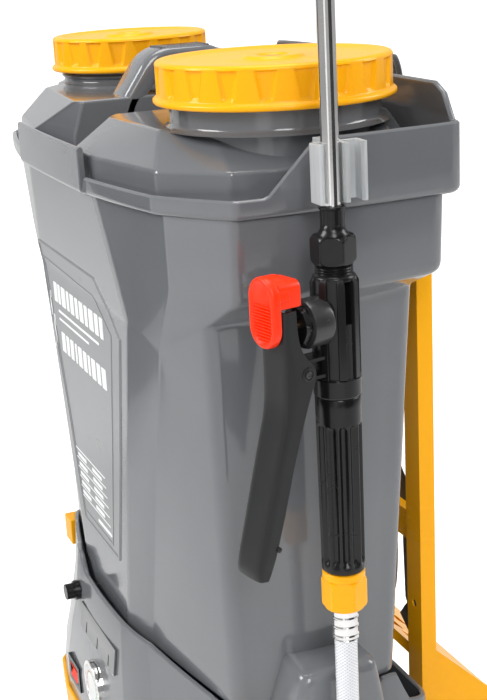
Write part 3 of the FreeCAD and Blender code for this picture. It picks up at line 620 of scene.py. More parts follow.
def tank_collar():
    half = [(71.5, -103, 0), (78.5, -101.2, 0), (157, -88, 0), (202, -58, 0), (200, 79, 0)]
    radii = mirrored([4, 4, 10, 7, 11])
    bows = closed_bows([0, 1, 1, 2.5], 3, 1)
    outline = rounded_outline(whole(half), radii, bows, 8, 40)
    wall = COLLAR_T

    def ring(depth, height):
        moved = shrink(outline, depth)
        return [Vector((p.x, p.y, height(collar_height(q.x, q.y)))) for p, q in zip(moved, outline)]

    rings = [ring(wall + 5, lambda top: TRAY_BOTTOM - 2), ring(3.0, lambda top: TRAY_BOTTOM - 2)]
    for turn in range(0, 91, 15):
        lift = 4 * (1 - cos(radians(turn)))
        rings.append(ring(4 * (1 - sin(radians(turn))), lambda top: TRAY_BOTTOM - 2 + lift))
    rings.append(ring(0, lambda top: top - 1.3))
    for turn in range(0, 181, 30):
        depth = 1.2 - 1.2 * cos(radians(turn / 2 if turn < 91 else 90))
        share = turn / 180
        crown = 1.3 * sin(radians(turn))
        rings.append(ring(share * wall, lambda top: top - 1.3 + crown))
    rings.append(ring(wall, lambda top: TRAY_FLOOR))
    rings.append(ring(wall + 5, lambda top: TRAY_FLOOR))
    new_mesh("tank_collar", *skin_rings(rings), "tank", "chassis", 40)


def deck_block(name, near, top):
    foot, crown = list(BLOCK_FOOT), list(BLOCK_TOP)
    if near:
        foot[:2] = [(32, -94), (72, -95.5)]
        crown[:2] = [(32, -66.5), (38, -71)]
    else:
        foot = [(x if x > 32 else 15, y) for x, y in foot]
        crown = [(x if x > 36 else 15 + (x - 32) * 0.5, y) for x, y in crown]
    side = 1 if near else -1
    rings = [[Vector((side * x, y, z)) for x, y in outline]
             for outline, z in ((foot, TRAY_BOTTOM), (foot, 498), (crown, top))]
    piece = new_mesh(name, *skin_rings(rings), "tank", "chassis", 20)
    bevel(piece, 1.8, 4, 12)
    return piece


def neck(name, centre, radius, deck, bead):
    """A filler neck with a filleted foot, its thread and an open mouth."""
    profile = [(radius + 5, deck - 1), (radius + 3, deck - 0.2)]
    profile += [(radius + 3 * (1 - sin(t)), deck + 2.6 * (1 - cos(t)))
                for t in (pi / 2 * k / 6 for k in range(1, 7))]
    if bead:
        profile += [(radius, 523.2)]
        profile += [(radius + 1.7 * sin(pi * k / 8), 523.4 + 3.6 * k / 8) for k in range(9)]
    profile += [(radius, 531)]
    profile += [(radius - 0.1, 533), (radius - 0.1, NECK_TOP - 0.8), (radius - 0.8, NECK_TOP),
                (radius - 4, NECK_TOP), (radius - 4.5, NECK_TOP - 0.6), (radius - 4.5, 492)]
    turned_piece(name, profile, (centre.x, centre.y, 0), "tank", "chassis", 128,
                 close_ends=(False, True))


def carry_handle():
    """The handle over the valley between the two necks, with a ribbed grip on top."""
    x0, x1 = -45, -15
    outer = fillet_path([(0, -50, 505), (0, -46, 518), (0, -24, 549), (0, 24, 549), (0, 46, 518),
                         (0, 50, 505)], 14, 10)
    section = round_box_section(x1 - x0, 14, 5, 5)
    rings = []
    for i, point in enumerate(outer):
        ahead = (outer[min(i + 1, len(outer) - 1)] - outer[max(i - 1, 0)]).normalized()
        out = Vector((-1, 0, 0)).cross(ahead).normalized()
        if out.z < 0 and abs(out.z) > 0.2:
            out.negate()
        middle = Vector(((x0 + x1) / 2, point.y, point.z)) - out * 7
        rings.append([middle + Vector((a, 0, 0)) + out * b for a, b in section])
    new_mesh("carry_handle", *skin_rings(rings), "tank", "chassis", 50)
    bars = []
    for k in range(15):
        y = -16 + 32 * k / 14
        profile = [(-1.0, -0.4), (-0.6, 0.5), (0.6, 0.5), (1.0, -0.4)]
        bar = [[Vector((x, y + a, 548.5 + b)) for a, b in profile] for x in (x0 + 4, x1 - 4)]
        bars.append(skin_rings(bar))
    new_mesh("handle_ribs", *joined(bars), "grip", "chassis", 30)


# ---- Filler caps ----
def cap_profile(radius, flange, bore):
    """Outer form of a cap from its foot to the middle of its dished top."""
    foot = 528.5
    profile = [(bore, foot + 4), (bore, foot + 0.5), (bore + 0.5, foot), (flange - 0.8, foot),
               (flange, foot + 0.8), (flange, foot + 2.4), (flange - 0.7, foot + 3.2),
               (radius + 0.3, foot + 4.0)]
    profile += [(radius, foot + 4.4 + 0.9 * k) for k in range(19)]
    crown = [(radius + 0.2, 549.6), (radius, 550.6), (radius - 0.8, 551.5), (radius - 2.0, 552.0),
             (radius - 4.5, 552.0), (radius - 6.5, 551.6), (radius - 8.0, 550.9), (radius * 0.75, 550.5),
             (radius * 0.5, 550.3)]
    boss = [(18.5, 550.3), (17.4, 550.8), (16.6, 551.8), (15.6, 552.0), (9.8, 552.0), (8.8, 551.6),
            (8.2, 550.4), (6.8, 550.1), (0.05, 550.1)]
    return profile + crown + boss


def screw_cap(name, node, centre, radius, flange, bore, body):
    """A cap with 20 tapered finger recesses round its skirt."""
    flutes = 20
    low, high = 533.4, 549.6

    def fluted(turn, r, z):
        if r < radius - 0.3 or not low <= z <= high:
            return r
        level = (z - low) / (high - low)
        pitch = 2 * pi / flutes
        away = abs((turn / pitch) % 1.0 - 0.5) * pitch * radius
        half_width = 3.2 + 3.0 * level
        ends = smooth_step(level / 0.10) * smooth_step((1 - level) / 0.05)
        return r - 1.6 * smooth_step((half_width - away) / 1.3) * ends

    piece = turned_piece(name, cap_profile(radius, flange, bore), (centre.x, centre.y, 0), "amber", body,
                         flutes * 26, radius_change=fluted, close_ends=(False, True), crease=60)
    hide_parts(node)


# ---- Handset: lance, valve, lever, grip and hose, all about the lance's axis ----
def hexagonal(across, chamfer, low, high):
    """Radius of a hexagonal nut with chamfered corners, for turned shapes."""
    flat = across / 2

    def change(turn, radius, height):
        if radius < flat - 1.5:
            return radius
        off = (turn % (pi / 3)) - pi / 6
        side = flat / cos(off)
        cap = flat / cos(pi / 6) * 0.985
        rim = min(height - low, high - height)
        if rim < chamfer:
            cap = min(cap, flat + (cap - flat) * (0.1 + 0.9 * rim / chamfer))
        return min(side, cap, radius + 10)

    return change


def window(turn, radius, height):
    """A dark slot between two ribs of the valve's body."""
    off = (degrees(turn) - 12.0) % 360
    if (off > 345 or off < 15) and 424.5 < height < 445.5 and radius < 11.6:
        return radius - 6.0
    return radius


def on_lance(name, node, material, body, profile, steps=96, change=None, crease=35.0, extra=()):
    piece = turned_piece(name, profile, (LANCE_X, LANCE_Y, 0), material, body, steps, radius_change=change,
                         crease=crease)
    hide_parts(node, *extra)
    return piece


def heights(low, high, count):
    return [low + (high - low) * k / count for k in range(count + 1)]


def lance():
    on_lance("lance_outer", "lance_tube", "chrome", "handset",
             [(3.96, 899), (3.96, 904.5), (4.3, 905),
              (4.7, 904.6)] + [(4.7, z) for z in heights(904, 453, 30)], 64)
    on_lance("lance_inner", "lance_inner_tube", "chrome", "inner_lance",
             [(3.95, z) for z in heights(945, 560, 24)], 48)
    gland = [(4.75, 484.2), (6.3, 484.4), (7.0, 483.8), (7.0, 482.8), (6.35, 482.2)]
    gland += [(6.35, z) for z in heights(481.6, 473.6, 8)] + [(6.5, 472.4), (7.1, 471.2), (8.2, 469.8),
                                                              (8.4, 468)]

    def flutes(turn, radius, height):
        if radius > 6.4 or height < 474:
            return radius
        return radius - 0.75 * smooth_step(1.6 * cos(turn * 6) - 0.3)

    on_lance("lance_gland_sleeve", "lance_gland", "black", "handset", gland, 144, flutes)
    nut = [(8.0, 469.2), (9.6, 469)] + [(12, z) for z in heights(468.8, 454.9, 16)] + [(9.6, 454.7),
                                                                                       (8, 454.5)]
    on_lance("lance_union_nut", "lance_nut", "black", "handset", nut, 144,
             hexagonal(21, 1.6, 454.7, 469), 25)
    thread = [(10.0 - 0.75 * abs(sin(pi * k / 4)), 454.8 - 5.6 * k / 16) for k in range(17)]
    body = thread + [(10.4, 448.9), (11.2, 448.2)]
    body += [(11.4, z) for z in heights(447.8, 395, 66)]
    body += [(12.0, 394.4), (12.75, 393.8), (12.75, 385), (12.2, 384.2), (11, 384)]
    on_lance("valve_block", "valve_body", "black", "handset", body, 192,
             window, 30, ("valve_seal", "valve_spring"))


def grip():
    flutes = 12
    low, high = 287.0, 369.0

    def fluted(turn, radius, height):
        if radius < 11 or not low - 3 < height < high + 3:
            return radius
        share = smooth_step((height - low) / 5) * smooth_step((high - height) / 1.6)
        wave = 0.5 + 0.5 * cos(turn * flutes)
        return radius - 2.3 * share * (1 - wave ** 1.6)

    profile = [(11.0, 384.3), (11.9, 384.0), (12.3, 383.4), (12.3, 378.6)]
    profile += [(12.3 - 0.4 * (378 - z) / 90, z) for z in heights(378, 288, 90)]
    profile += [(11.9, 286.8), (11.9, 284.8), (11.3, 284.1), (9.6, 284), (9.5, 270)]
    on_lance("grip_sleeve", "grip", "black", "handset", profile, 216, fluted, 40)


def hose_end():
    nut = [(9.0, 283.2), (9.8, 283.6), (11.0, 283.5), (11.75, 282.8), (11.75, 279.5), (11.2, 278.6)]
    nut += [(12.6, z) for z in heights(278.2, 262.2, 16)] + [(10.8, 261.2), (8.0, 261)]

    def flats(turn, radius, height):
        if height > 278.4 or radius < 11:
            return radius
        return hexagonal(22.0, 1.8, 261, 279.4)(turn, radius, height)

    on_lance("hose_union_nut", "hose_nut", "amber", "handset", nut, 144, flats, 30)
    ferrule = [(6.6, 260.8), (7.3, 260.4)]
    for z in heights(259.5, 242.8, 34):
        ridge = 0.55 * max(0.0, cos((z - 255.2) * 1.15)) ** 4
        ferrule.append((6.95 + ridge, z))
    ferrule += [(7.3, 242.2), (6.5, 242)]
    on_lance("hose_ferrule", "crimp_ferrule", "chrome", "handset", ferrule, 96, None, 60)
    path = heights(262, 128, 60)
    hose = [(6.38 + 0.05 * sin(z * 0.9), z) for z in path]
    on_lance("braided_hose", "delivery_hose", "hose", "handset", hose, 96, None, 60,
             ("hose_tail",))


# ---- Trigger: lever, latch, pins and the valve's side branch, turned with the handset ----
HANDSET_TURN = radians(12.0)
STEM_Z = 426.0
LEVER_PIN = (26.3, 402.5)
LATCH_PIN = (33.0, 443.5)


def handset_point(across, reach, z):
    """A point from its place across the lever, its reach out from the lance, and its height."""
    c, s = cos(HANDSET_TURN), sin(HANDSET_TURN)
    return Vector((LANCE_X + across * c + reach * s, LANCE_Y + across * s - reach * c, z))


def stem_turned(name, profile, material, steps=96, change=None, crease=40, body="handset"):
    """A shape turned about the valve's stem, from (radius, reach) pairs."""
    rings = []
    for radius, reach in profile:
        ring = []
        for i in range(steps):
            turn = 2 * pi * i / steps
            r = change(turn, radius, reach) if change else radius
            ring.append(handset_point(r * cos(turn), reach, STEM_Z + r * sin(turn)))
        rings.append(ring)
    return new_mesh(name, *skin_rings(rings), material, body, crease)


def cross_turned(name, profile, centre, material, body, steps=48, crease=40):
    """A shape turned about a line across the lever, from (radius, across) pairs."""
    rings = []
    for radius, across in profile:
        turns = [2 * pi * i / steps for i in range(steps)]
        rings.append([handset_point(across, centre[0] + radius * cos(t), centre[1] + radius * sin(t))
                      for t in turns])
    return new_mesh(name, *skin_rings(rings), material, body, crease)


def spaced(points, step):
    """The polyline with extra points so that none are further apart than step."""
    dense = [Vector(points[0])]
    for a, b in zip(points, points[1:]):
        a, b = Vector(a), Vector(b)
        count = max(1, ceil((b - a).length / step))
        dense += [a + (b - a) * k / count for k in range(1, count + 1)]
    return dense


def smoothed(points, passes):
    """The polyline with its inner points averaged with their neighbours."""
    points = [Vector(p) for p in points]
    for _ in range(passes):
        inner = [(a + b * 2 + c) / 4 for a, b, c in zip(points, points[1:], points[2:])]
        points = [points[0]] + inner + [points[-1]]
    return points


def lever():
    front = [(40.5, 437), (40.5, 430), (40.4, 423), (40.3, 417), (40.2, 412), (40.2, 408), (40.2, 404),
             (40.3, 400), (40.4, 396), (40.7, 388), (42.2, 379), (47.5, 360), (54.0, 336), (60.6, 311),
             (62.9, 301), (62.2, 297.8)]
    back = [(32.2, 437), (32.0, 430), (31.4, 423), (30.2, 417), (27.6, 412), (24.4, 408.8), (21.2, 404.8),
            (20.7, 400.6), (22.7, 396.4), (26.4, 387), (30.4, 376), (37.5, 354), (44.3, 330), (51.0, 309),
            (55.0, 299.6), (56.6, 297.0)]
    span = [Vector((f[0], f[1], b[0], b[1])) for f, b in zip(front, back)]
    stations = smoothed(spaced(span, 4.0), 2)
    half, wall = 10.5, 2.5
    rings = []
    for f0, f1, b0, b1 in stations:
        ahead, behind = Vector((f0, f1)), Vector((b0, b1))
        depth = (behind - ahead).length
        into = (behind - ahead) / depth
        outer = [(half, depth), (half, depth * 0.5), (half, 1.6), (half - 0.4, 0.7), (half - 1.4, 0.1),
                 (half - 4.5, -0.35), (0, -0.6)]
        inner = [(half - wall, depth), (half - wall, depth * 0.6), (half - wall, wall)]
        section = [(-a, d) for a, d in outer] + [(a, d) for a, d in reversed(outer[:-1])]
        section += inner + [(-a, d) for a, d in reversed(inner)]
        ring = []
        for a, d in section:
            spot = ahead + into * d
            ring.append(handset_point(a, spot.x, spot.y))
        rings.append(ring)
    piece = new_mesh("lever_channel", *skin_rings(rings), "lever", "lever", 38)
    bevel(piece, 0.5, 3, 50)
    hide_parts("lever")
    for side in (-1, 1):
        name = "left" if side < 0 else "right"
        rim = [(3.7, 10.3), (3.7, 10.9), (3.1, 11.1), (2.7, 10.9), (2.6, 10.2)]
        cross_turned("lever_pin_eye_" + name, [(r, a * side) for r, a in rim], LEVER_PIN,
                     "lever", "lever")
    stud = [(1.0, -11.5), (1.5, -11.1), (1.5, 11.1), (1.0, 11.5)]
    cross_turned("lever_stud", stud, (49.4, 313.0), "lever", "lever")


def pins():
    head = [(1.2, -11.4), (2.0, -11.2), (2.0, 10.4), (1.9, 11.2), (1.3, 11.5), (1.2, 11.3), (0.4, 11.2)]
    pin = cross_turned("lever_hinge_pin", head, LEVER_PIN, "satin", "handset")
    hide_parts("lever_pin")
    head = [(1.1, -9.9), (1.5, -9.6), (1.5, 9.6), (1.1, 9.9)]
    pin = cross_turned("latch_hinge_pin", head, LATCH_PIN, "steel", "lever")
    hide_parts("latch_pin")


def arch(half, low, high, top_radius, foot_radius, steps=10):
    """A closed (across, z) outline: rounded at the top corners and at the foot."""
    outline = []
    for sx, sz, radius in ((1, 1, top_radius), (-1, 1, top_radius), (-1, -1, foot_radius),
                           (1, -1, foot_radius)):
        quarter = {(1, 1): 0, (-1, 1): 1, (-1, -1): 2, (1, -1): 3}[(sx, sz)]
        cx, cz = sx * (half - radius), (high - radius if sz > 0 else low + radius)
        for k in range(steps + 1):
            turn = pi / 2 * (quarter + k / steps)
            outline.append((cx + radius * cos(turn), cz + radius * sin(turn)))
    return outline


def layered(name, layers, material, body, crease=35):
    """A skin through outlines set at growing reaches from the lance."""
    rings = [[handset_point(a, reach, z) for a, z in outline] for outline, reach in layers]
    return new_mesh(name, *skin_rings(rings), material, body, crease)


def pad_outline(inset):
    half, low, high = 11.0 - inset, 418.0 + inset, 455.0 - inset
    return arch(half, low, high, half - 0.01, half - 0.01, 14)


def latch():
    back, front = 41.3, 46.7
    layers = [(0.7, back), (0.1, back + 0.5), (0.0, back + 1.2), (0.0, front - 1.6), (0.35, front - 0.7),
              (1.0, front - 0.1), (1.7, front), (2.3, front - 0.15), (3.2, front - 1.0), (5.0, front - 1.5),
              (8.5, front - 1.7)]
    pad = layered("latch_pad", [(pad_outline(i), b) for i, b in layers], "latch", "latch", 50)
    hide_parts("latch")
    cap = arch(10.9, 443.0, 454.9, 10.8, 0.5)
    step = [(arch(10.3, 443.6, 454.3, 10.2, 0.5), 35.8), (arch(10.8, 443.1, 454.8, 10.7, 0.5), 36.3),
            (cap, 37.0), (cap, 42.5)]
    layered("latch_cap", step, "latch", "latch")
    block = arch(10.0, 438.8, 452.4, 4.2, 0.8)
    small = arch(9.2, 439.6, 451.6, 3.8, 0.6)
    hood = [(small, 28.3), (arch(9.8, 439.0, 452.2, 4.1, 0.8), 28.8), (block, 29.8), (block, 41.5)]
    layered("latch_hood", hood, "latch", "latch")
    ridges = []
    count, low, pitch = 13, 420.6, 1.62
    for i in range(count):
        z = low + pitch * i
        drop = max(0.0, 429.0 - z)
        half = sqrt(max(8.4 ** 2 - drop ** 2, 4.0))
        rings = []
        for a in (-half, -half + 0.5, half - 0.5, half):
            rise = 0.0 if abs(a) == half else 1.15
            rings.append([handset_point(a, front - 1.7, z - 0.45),
                          handset_point(a, front - 1.5 + rise, z - 0.2),
                          handset_point(a, front - 1.5 + rise, z + 0.2),
                          handset_point(a, front - 1.7, z + 0.45)])
        ridges.append(skin_rings(rings))
    new_mesh("latch_ridges", *joined(ridges), "latch", "latch", 60)


def bonnet():
    barrel = [(10.0, 8.6), (12.0, 8.8), (12.8, 9.6), (13.0, 10.8), (13.0, 20.6), (12.6, 21.7), (11.4, 22),
              (6, 22)]
    stem_turned("valve_bonnet", barrel, "satin")
    stub = [(9.0, 21.8), (11.5, 22), (11.5, 23.4), (11.5, 24.8), (11.2, 26), (8.0, 26.1)]
    nut = stem_turned("bonnet_hexagon", stub, "black", 144, hexagonal(20, 1.0, 22, 26), 25)
    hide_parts("bonnet_nut")
    rod = [(2.4, 20), (2.45, 26.0), (2.45, 41.4), (3.6, 41.5), (3.9, 41.8), (3.9, 42.8), (3.5, 43.1)]
    stem = stem_turned("valve_stem_rod", rod, "brass", 40, None, 30, "valve_stem")
    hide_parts("valve_stem")


def valve_fittings():
    """Upright ribs round the valve's body and the pierced lug that carries the lever's pin."""
    ribs = []
    for i in range(8):
        turn = radians(45 * i + 22.5) + HANDSET_TURN
        out = Vector((cos(turn), sin(turn), 0))
        side = Vector((-sin(turn), cos(turn), 0))
        middle = Vector((LANCE_X, LANCE_Y, 0))
        rings = []
        for z, near, far, half in ((394.6, 10, 12.7, 2.1), (445.0, 10, 12.7, 2.1), (448.6, 9.4, 10.9, 1.5)):
            rings.append([middle + out * r + side * w + Vector((0, 0, z))
                          for r, w in ((near, -half), (far, -half), (far, half), (near, half))])
        ribs.append(skin_rings(rings))
    bevel(new_mesh("valve_ribs", *joined(ribs), "black", "handset", 30), 0.35, 2, 40)
    plates = []
    for low, high in ((396.6, 398.9), (406.1, 408.4)):
        plates.append([[handset_point(a, b, z) for a, b in ((-5.4, 9), (5.4, 9), (5.4, 26), (-5.4, 26))]
                       for z in (low, high)])
    plates.append([[handset_point(a, b, z) for a, b in ((-1.6, 9), (1.6, 9), (1.6, 26), (-1.6, 26))]
                   for z in (398, 407)])
    lug = new_mesh("valve_lug", *joined(skin_rings(rings) for rings in plates), "black", "handset", 30)
    bevel(lug, 0.4, 2, 40)
    knuckle = [(4.4, -5.5), (6.0, -5.2), (6.0, 5.2), (4.4, 5.5)]
    cross_turned("valve_lug_knuckle", knuckle, LEVER_PIN, "black", "handset")


def clip():
    """Two open snap channels on a short foot: the near one holds the lance."""
    low, high = 485.4, 515.6
    outlines = []
    back, front = 219.4, 231.8
    for near, far in ((-23.4, -6.8), (-9.2, 3.5)):
        wall, lip = 2.3, 0.9
        outlines.append([(back, near), (front - 1.2, near), (front, near + 0.9), (front - 0.2, near + wall),
                         (front - 2.4, near + wall + lip), (front - 5.2, near + wall),
                         (back + 1.8, near + wall), (back + 1.8, far - wall), (front - 5.2, far - wall),
                         (front - 2.4, far - wall - lip), (front - 0.2, far - wall), (front, far - 0.9),
                         (front - 1.2, far), (back, far)])
    outlines.append([(202.2, -13.5), (back + 0.4, -12.0), (back + 0.4, -6.0), (202.2, -4.5)])
    skins = [skin_rings([[Vector((x, y, z)) for x, y in outline] for z in (low, (low + high) / 2, high)])
             for outline in outlines]
    piece = new_mesh("clip_channels", *joined(skins), "clip", "chassis", 40)
    bevel(piece, 0.35, 2, 35)
    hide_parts("lance_clip")


# ---- Label on the control side: a thin film, two raised border lines and plain bars in place of print ----
def label_depth(z):
    """y of the tank's face under the label."""
    return table_value([(176.5, -88.0), (402, -88.5), (405, -89.0), (479, -97.0)], z)


def mitred(outline, distance):
    """An (x, z) outline moved inwards by distance, corner by corner."""
    moved = []
    count = len(outline)
    for i in range(count):
        here = Vector(outline[i])
        a = (here - Vector(outline[i - 1])).normalized()
        b = (Vector(outline[(i + 1) % count]) - here).normalized()
        inward = (Vector((-a.y, a.x)) + Vector((-b.y, b.x))).normalized()
        reach = distance / max(0.3, sqrt((1 + a.dot(b)) / 2))
        moved.append(here - inward * reach)
    return moved


def raised_loop(name, outline, width, height, material):
    """A raised line with sloped flanks along a closed outline on the label."""
    layers = [(-width / 2, -0.2), (-width / 4, height), (width / 4, height), (width / 2, -0.2)]
    base = mitred(outline, 0.0)
    count = [max(1, ceil((Vector(base[(i + 1) % len(base)]) - Vector(base[i])).length / 4.0))
             for i in range(len(base))]
    rings = []
    for distance, rise in layers:
        corners = mitred(outline, distance)
        ring = []
        for i, corner in enumerate(corners):
            after = corners[(i + 1) % len(corners)]
            for k in range(count[i]):
                spot = Vector(corner) + (Vector(after) - Vector(corner)) * k / count[i]
                ring.append(Vector((spot.x, label_depth(spot.y) - rise, spot.y)))
        rings.append(ring)
    points, faces = skin_rings(rings, (False, False))
    n = len(rings[0])
    faces += [(3 * n + i, 3 * n + (i + 1) % n, (i + 1) % n, i) for i in range(n)]
    piece = new_mesh(name, points, faces, material, "chassis", 25)
    return piece


def printed_bars(name, bars):
    """Thin rounded bars lying on the label, each (x0, x1, z0, z1)."""
    skins = []
    for x0, x1, z0, z1 in bars:
        outline = round_rectangle(x0, x1, z0, z1, min(0.9, (z1 - z0) * 0.35), 3)
        rings = [[Vector((x, label_depth(z) - rise, z)) for x, z in outline] for rise in (0.2, 0.56)]
        skins.append(skin_rings(rings))
    new_mesh(name, *joined(skins), "print", "chassis", 30)


def label():
    outer = [(-95, 417), (40, 417), (80, 388), (61, 307), (39, 227), (-39.5, 227), (-61, 307), (-90, 390)]
    inner = [(-90, 407), (30, 404), (63, 386), (45, 307), (27, 232.6), (-39, 233), (-56, 300), (-84, 390)]
    rows = [227 + 5 * k for k in range(36)] + [403.5, 405.5, 411, 417]
    rows = sorted(set(min(z, 417) for z in rows))
    rings = []
    right_edge = [(227, 39), (307, 61), (388, 80), (417.01, 40)]
    left_edge = [(227, -39.5), (307, -61), (390, -90), (417.01, -95)]
    for z in rows:
        left, right = table_value(left_edge, z), table_value(right_edge, z)
        y = label_depth(z)
        rings.append([Vector((left, y + 0.3, z)), Vector((left, y - 0.3, z)), Vector((right, y - 0.3, z)),
                      Vector((right, y + 0.3, z))])
    film = new_mesh("label_film", *skin_rings(rings), "label", "chassis", 25)
    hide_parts("label_plate")
    raised_loop("label_border_outer", outer, 2.6, 0.9, "label")
    raised_loop("label_border_inner", inner, 1.6, 0.7, "label")
    title = [(x, x + width, 379, 393)
             for x, width in ((-70, 8), (-60, 6), (-51, 10), (-38, 6), (-29, 9), (-17, 7), (-7, 9), (5, 7),
                              (15, 10), (28, 8), (39, 7))]
    title += [(-62, 34, 372.6, 374.4), (-62, 10, 367.0, 368.6)]
    title += [(x, x + width, 345, 359)
              for x, width in ((-60, 9), (-48, 7), (-38, 8), (-26, 4), (-19, 9), (-7, 8), (4, 5), (12, 9),
                               (24, 8), (35, 9))]
    title += [(-78, -74, 344, 368), (-83, -80, 366, 384)]
    printed_bars("label_print_large", title)
    table = [(-49, 20, 277.0, 277.9), (-48, 21, 270.3, 271.0), (-47, 22, 263.6, 264.3),
             (-45, 23, 256.9, 257.6), (-43, 23.5, 250.2, 250.9), (-41, 24, 243.5, 244.2),
             (-5, 26, 236.8, 239.2)]
    for k in range(5):
        z = 272.4 + -6.7 * k
        table += [(-44 + k, -24 + k, z, z + 2.6), (-10 + 0.5 * k, 12, z, z + 2.6)]
    printed_bars("label_print_small", table)


# ---- Soft goods: yoke and lumbar pad by cloth simulation, straps and webbing modelled directly ----
def cushion_mesh(outline_size, middle, corner, steps=(26, 14)):
    """A closed pillow blank in the xz plane: rounded plan, thicker in the middle than at the seam."""
    width, thick, tall = outline_size
    nx, nz = steps
    points, faces = [], []
    for side in (-1, 1):
        for i in range(nx + 1):
            for k in range(nz + 1):
                u, v = 2 * i / nx - 1, 2 * k / nz - 1
                squeeze_x = sqrt(max(0.0, 1 - 0.5 * v * v * corner))
                squeeze_z = sqrt(max(0.0, 1 - 0.5 * u * u * corner))
                bulge = (1 - u ** 4) * (1 - v ** 4)
                x = u * width / 2 * squeeze_x
                z = v * tall / 2 * squeeze_z
                y = side * thick / 2 * (0.35 + 0.65 * bulge)
                points.append(Vector((middle.x + x, middle.y + y, middle.z + z)))
    layer = (nx + 1) * (nz + 1)
    for s in range(2):
        for i in range(nx):
            for k in range(nz):
                a = s * layer + i * (nz + 1) + k
                faces.append((a, a + 1, a + nz + 2, a + nz + 1))
    rim = [i * (nz + 1) for i in range(nx + 1)] + [nx * (nz + 1) + k for k in range(1, nz + 1)]
    rim += [i * (nz + 1) + nz for i in range(nx - 1, -1, -1)] + [k for k in range(nz - 1, 0, -1)]
    for a, b in zip(rim, rim[1:] + rim[:1]):
        faces.append((a, b, b + layer, a + layer))
    return points, faces


def inflated(name, points, faces, material, body, cap=3.0, frames=20):
    """Fabric over a filling: the blank is remeshed and blown up as cloth, with its movement limited."""
    piece = new_mesh(name, points, faces, material, body, 180)
    remesh = piece.modifiers.new("even_cloth", "REMESH")
    remesh.mode = "VOXEL"
    remesh.voxel_size = 0.0045
    scene = bpy.context.scene
    with bpy.context.temp_override(object=piece, active_object=piece, selected_objects=[piece]):
        bpy.ops.object.modifier_apply(modifier="even_cloth")
    start = [v.co.copy() for v in piece.data.vertices]
    cloth = piece.modifiers.new("filling", "CLOTH")
    cloth.settings.quality = 5
    cloth.settings.mass = 0.25
    cloth.settings.tension_stiffness = 12
    cloth.settings.compression_stiffness = 12
    cloth.settings.bending_stiffness = 0.4
    cloth.settings.use_pressure = True
    cloth.settings.uniform_pressure_force = 4.0
    cloth.settings.effector_weights.gravity = 0.0
    cloth.collision_settings.use_collision = False
    cloth.point_cache.frame_start = 1
    cloth.point_cache.frame_end = frames
    for frame_number in range(1, frames + 1):
        scene.frame_set(frame_number)
    grown = piece.evaluated_get(bpy.context.evaluated_depsgraph_get()).data
    settled = [v.co.copy() for v in grown.vertices]
    piece.modifiers.remove(cloth)
    scene.frame_set(1)
    for vertex, a, b in zip(piece.data.vertices, start, settled):
        move = b - a
        if move.length > cap * MM:
            move *= cap * MM / move.length
        vertex.co = a + move
    smooth = piece.modifiers.new("fine_cloth", "SUBSURF")
    smooth.levels = 1
    smooth.render_levels = 1
    piece.data.shade_smooth()
    return piece


def piping(name, path, radius, material, body, closed=True):
    """A round cord sewn along a path."""
    sides = 10
    path = [Vector(p) for p in path]
    rings = []
    for i, spot in enumerate(path):
        ahead = (path[(i + 1) % len(path)] - path[i - 1]).normalized()
        side = ahead.cross(Vector((0, 1, 0))).normalized()
        up = side.cross(ahead)
        rings.append([spot + side * radius * cos(t) + up * radius * sin(t)
                      for t in (2 * pi * k / sides for k in range(sides))])
    if closed:
        rings.append(rings[0])
    piece = new_mesh(name, *skin_rings(rings, (not closed, not closed)), material, body, 60)
    return piece


def pad_edge(size, middle, corner, out, count=96):
    """The seam line round a cushion_mesh blank."""
    width, _, tall = size
    path = []
    for k in range(count):
        turn = 2 * pi * k / count
        c, s = cos(turn), sin(turn)
        m = max(abs(c), abs(s))
        u, v = c / m, s / m
        x = u * width / 2 * sqrt(max(0.0, 1 - 0.5 * v * v * corner))
        z = v * tall / 2 * sqrt(max(0.0, 1 - 0.5 * u * u * corner))
        path.append(Vector((middle.x + x, middle.y + out, middle.z + z)))
    return path


def stitched(name, size, node, corner, body, stitches):
    """A cushion with a piped seam and rows of stitching."""
    low, high = node_box(node)
    middle = (low + high) / 2
    blank = (high.x - low.x - size, high.y - low.y - 3.2, high.z - low.z - size)
    points, faces = cushion_mesh(blank, middle, corner)
    piece = inflated(name, points, faces, "padding", body)
    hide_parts(node)
    edge = pad_edge((blank[0] + 1.0, 0, blank[2] + 1.0), middle, corner, 0.0)
    piping(name + "_piping", edge, 1.9, "binding", body)
    for row, share in enumerate(stitches):
        inner = pad_edge((blank[0] * share, 0, blank[2] * share), middle, corner, blank[1] / 2 + 0.3)
        dashes(name + "_stitch_%d" % row, inner, body)


def dashes(name, path, body, closed=True):
    """Running stitches: short rounded threads along a path."""
    skins = []
    path = [Vector(p) for p in path]
    count = len(path)
    for i in range(0, count if closed else count - 1):
        a, b = path[i], path[(i + 1) % count]
        if (b - a).length < 0.5:
            continue
        start, end = a + (b - a) * 0.15, a + (b - a) * 0.8
        side = (end - start).cross(Vector((0, 1, 0))).normalized() * 0.32
        rings = []
        for spot, rise in ((start, -0.4), (start + (end - start) * 0.2, 0.3),
                           (start + (end - start) * 0.8, 0.3), (end, -0.4)):
            lift = Vector((0, rise, 0))
            rings.append([spot + lift - side, spot + lift + Vector((0, 0.25, 0)), spot + lift + side,
                          spot + lift - Vector((0, 0.25, 0))])
        skins.append(skin_rings(rings))
    new_mesh(name, *joined(skins), "thread", body, 60)


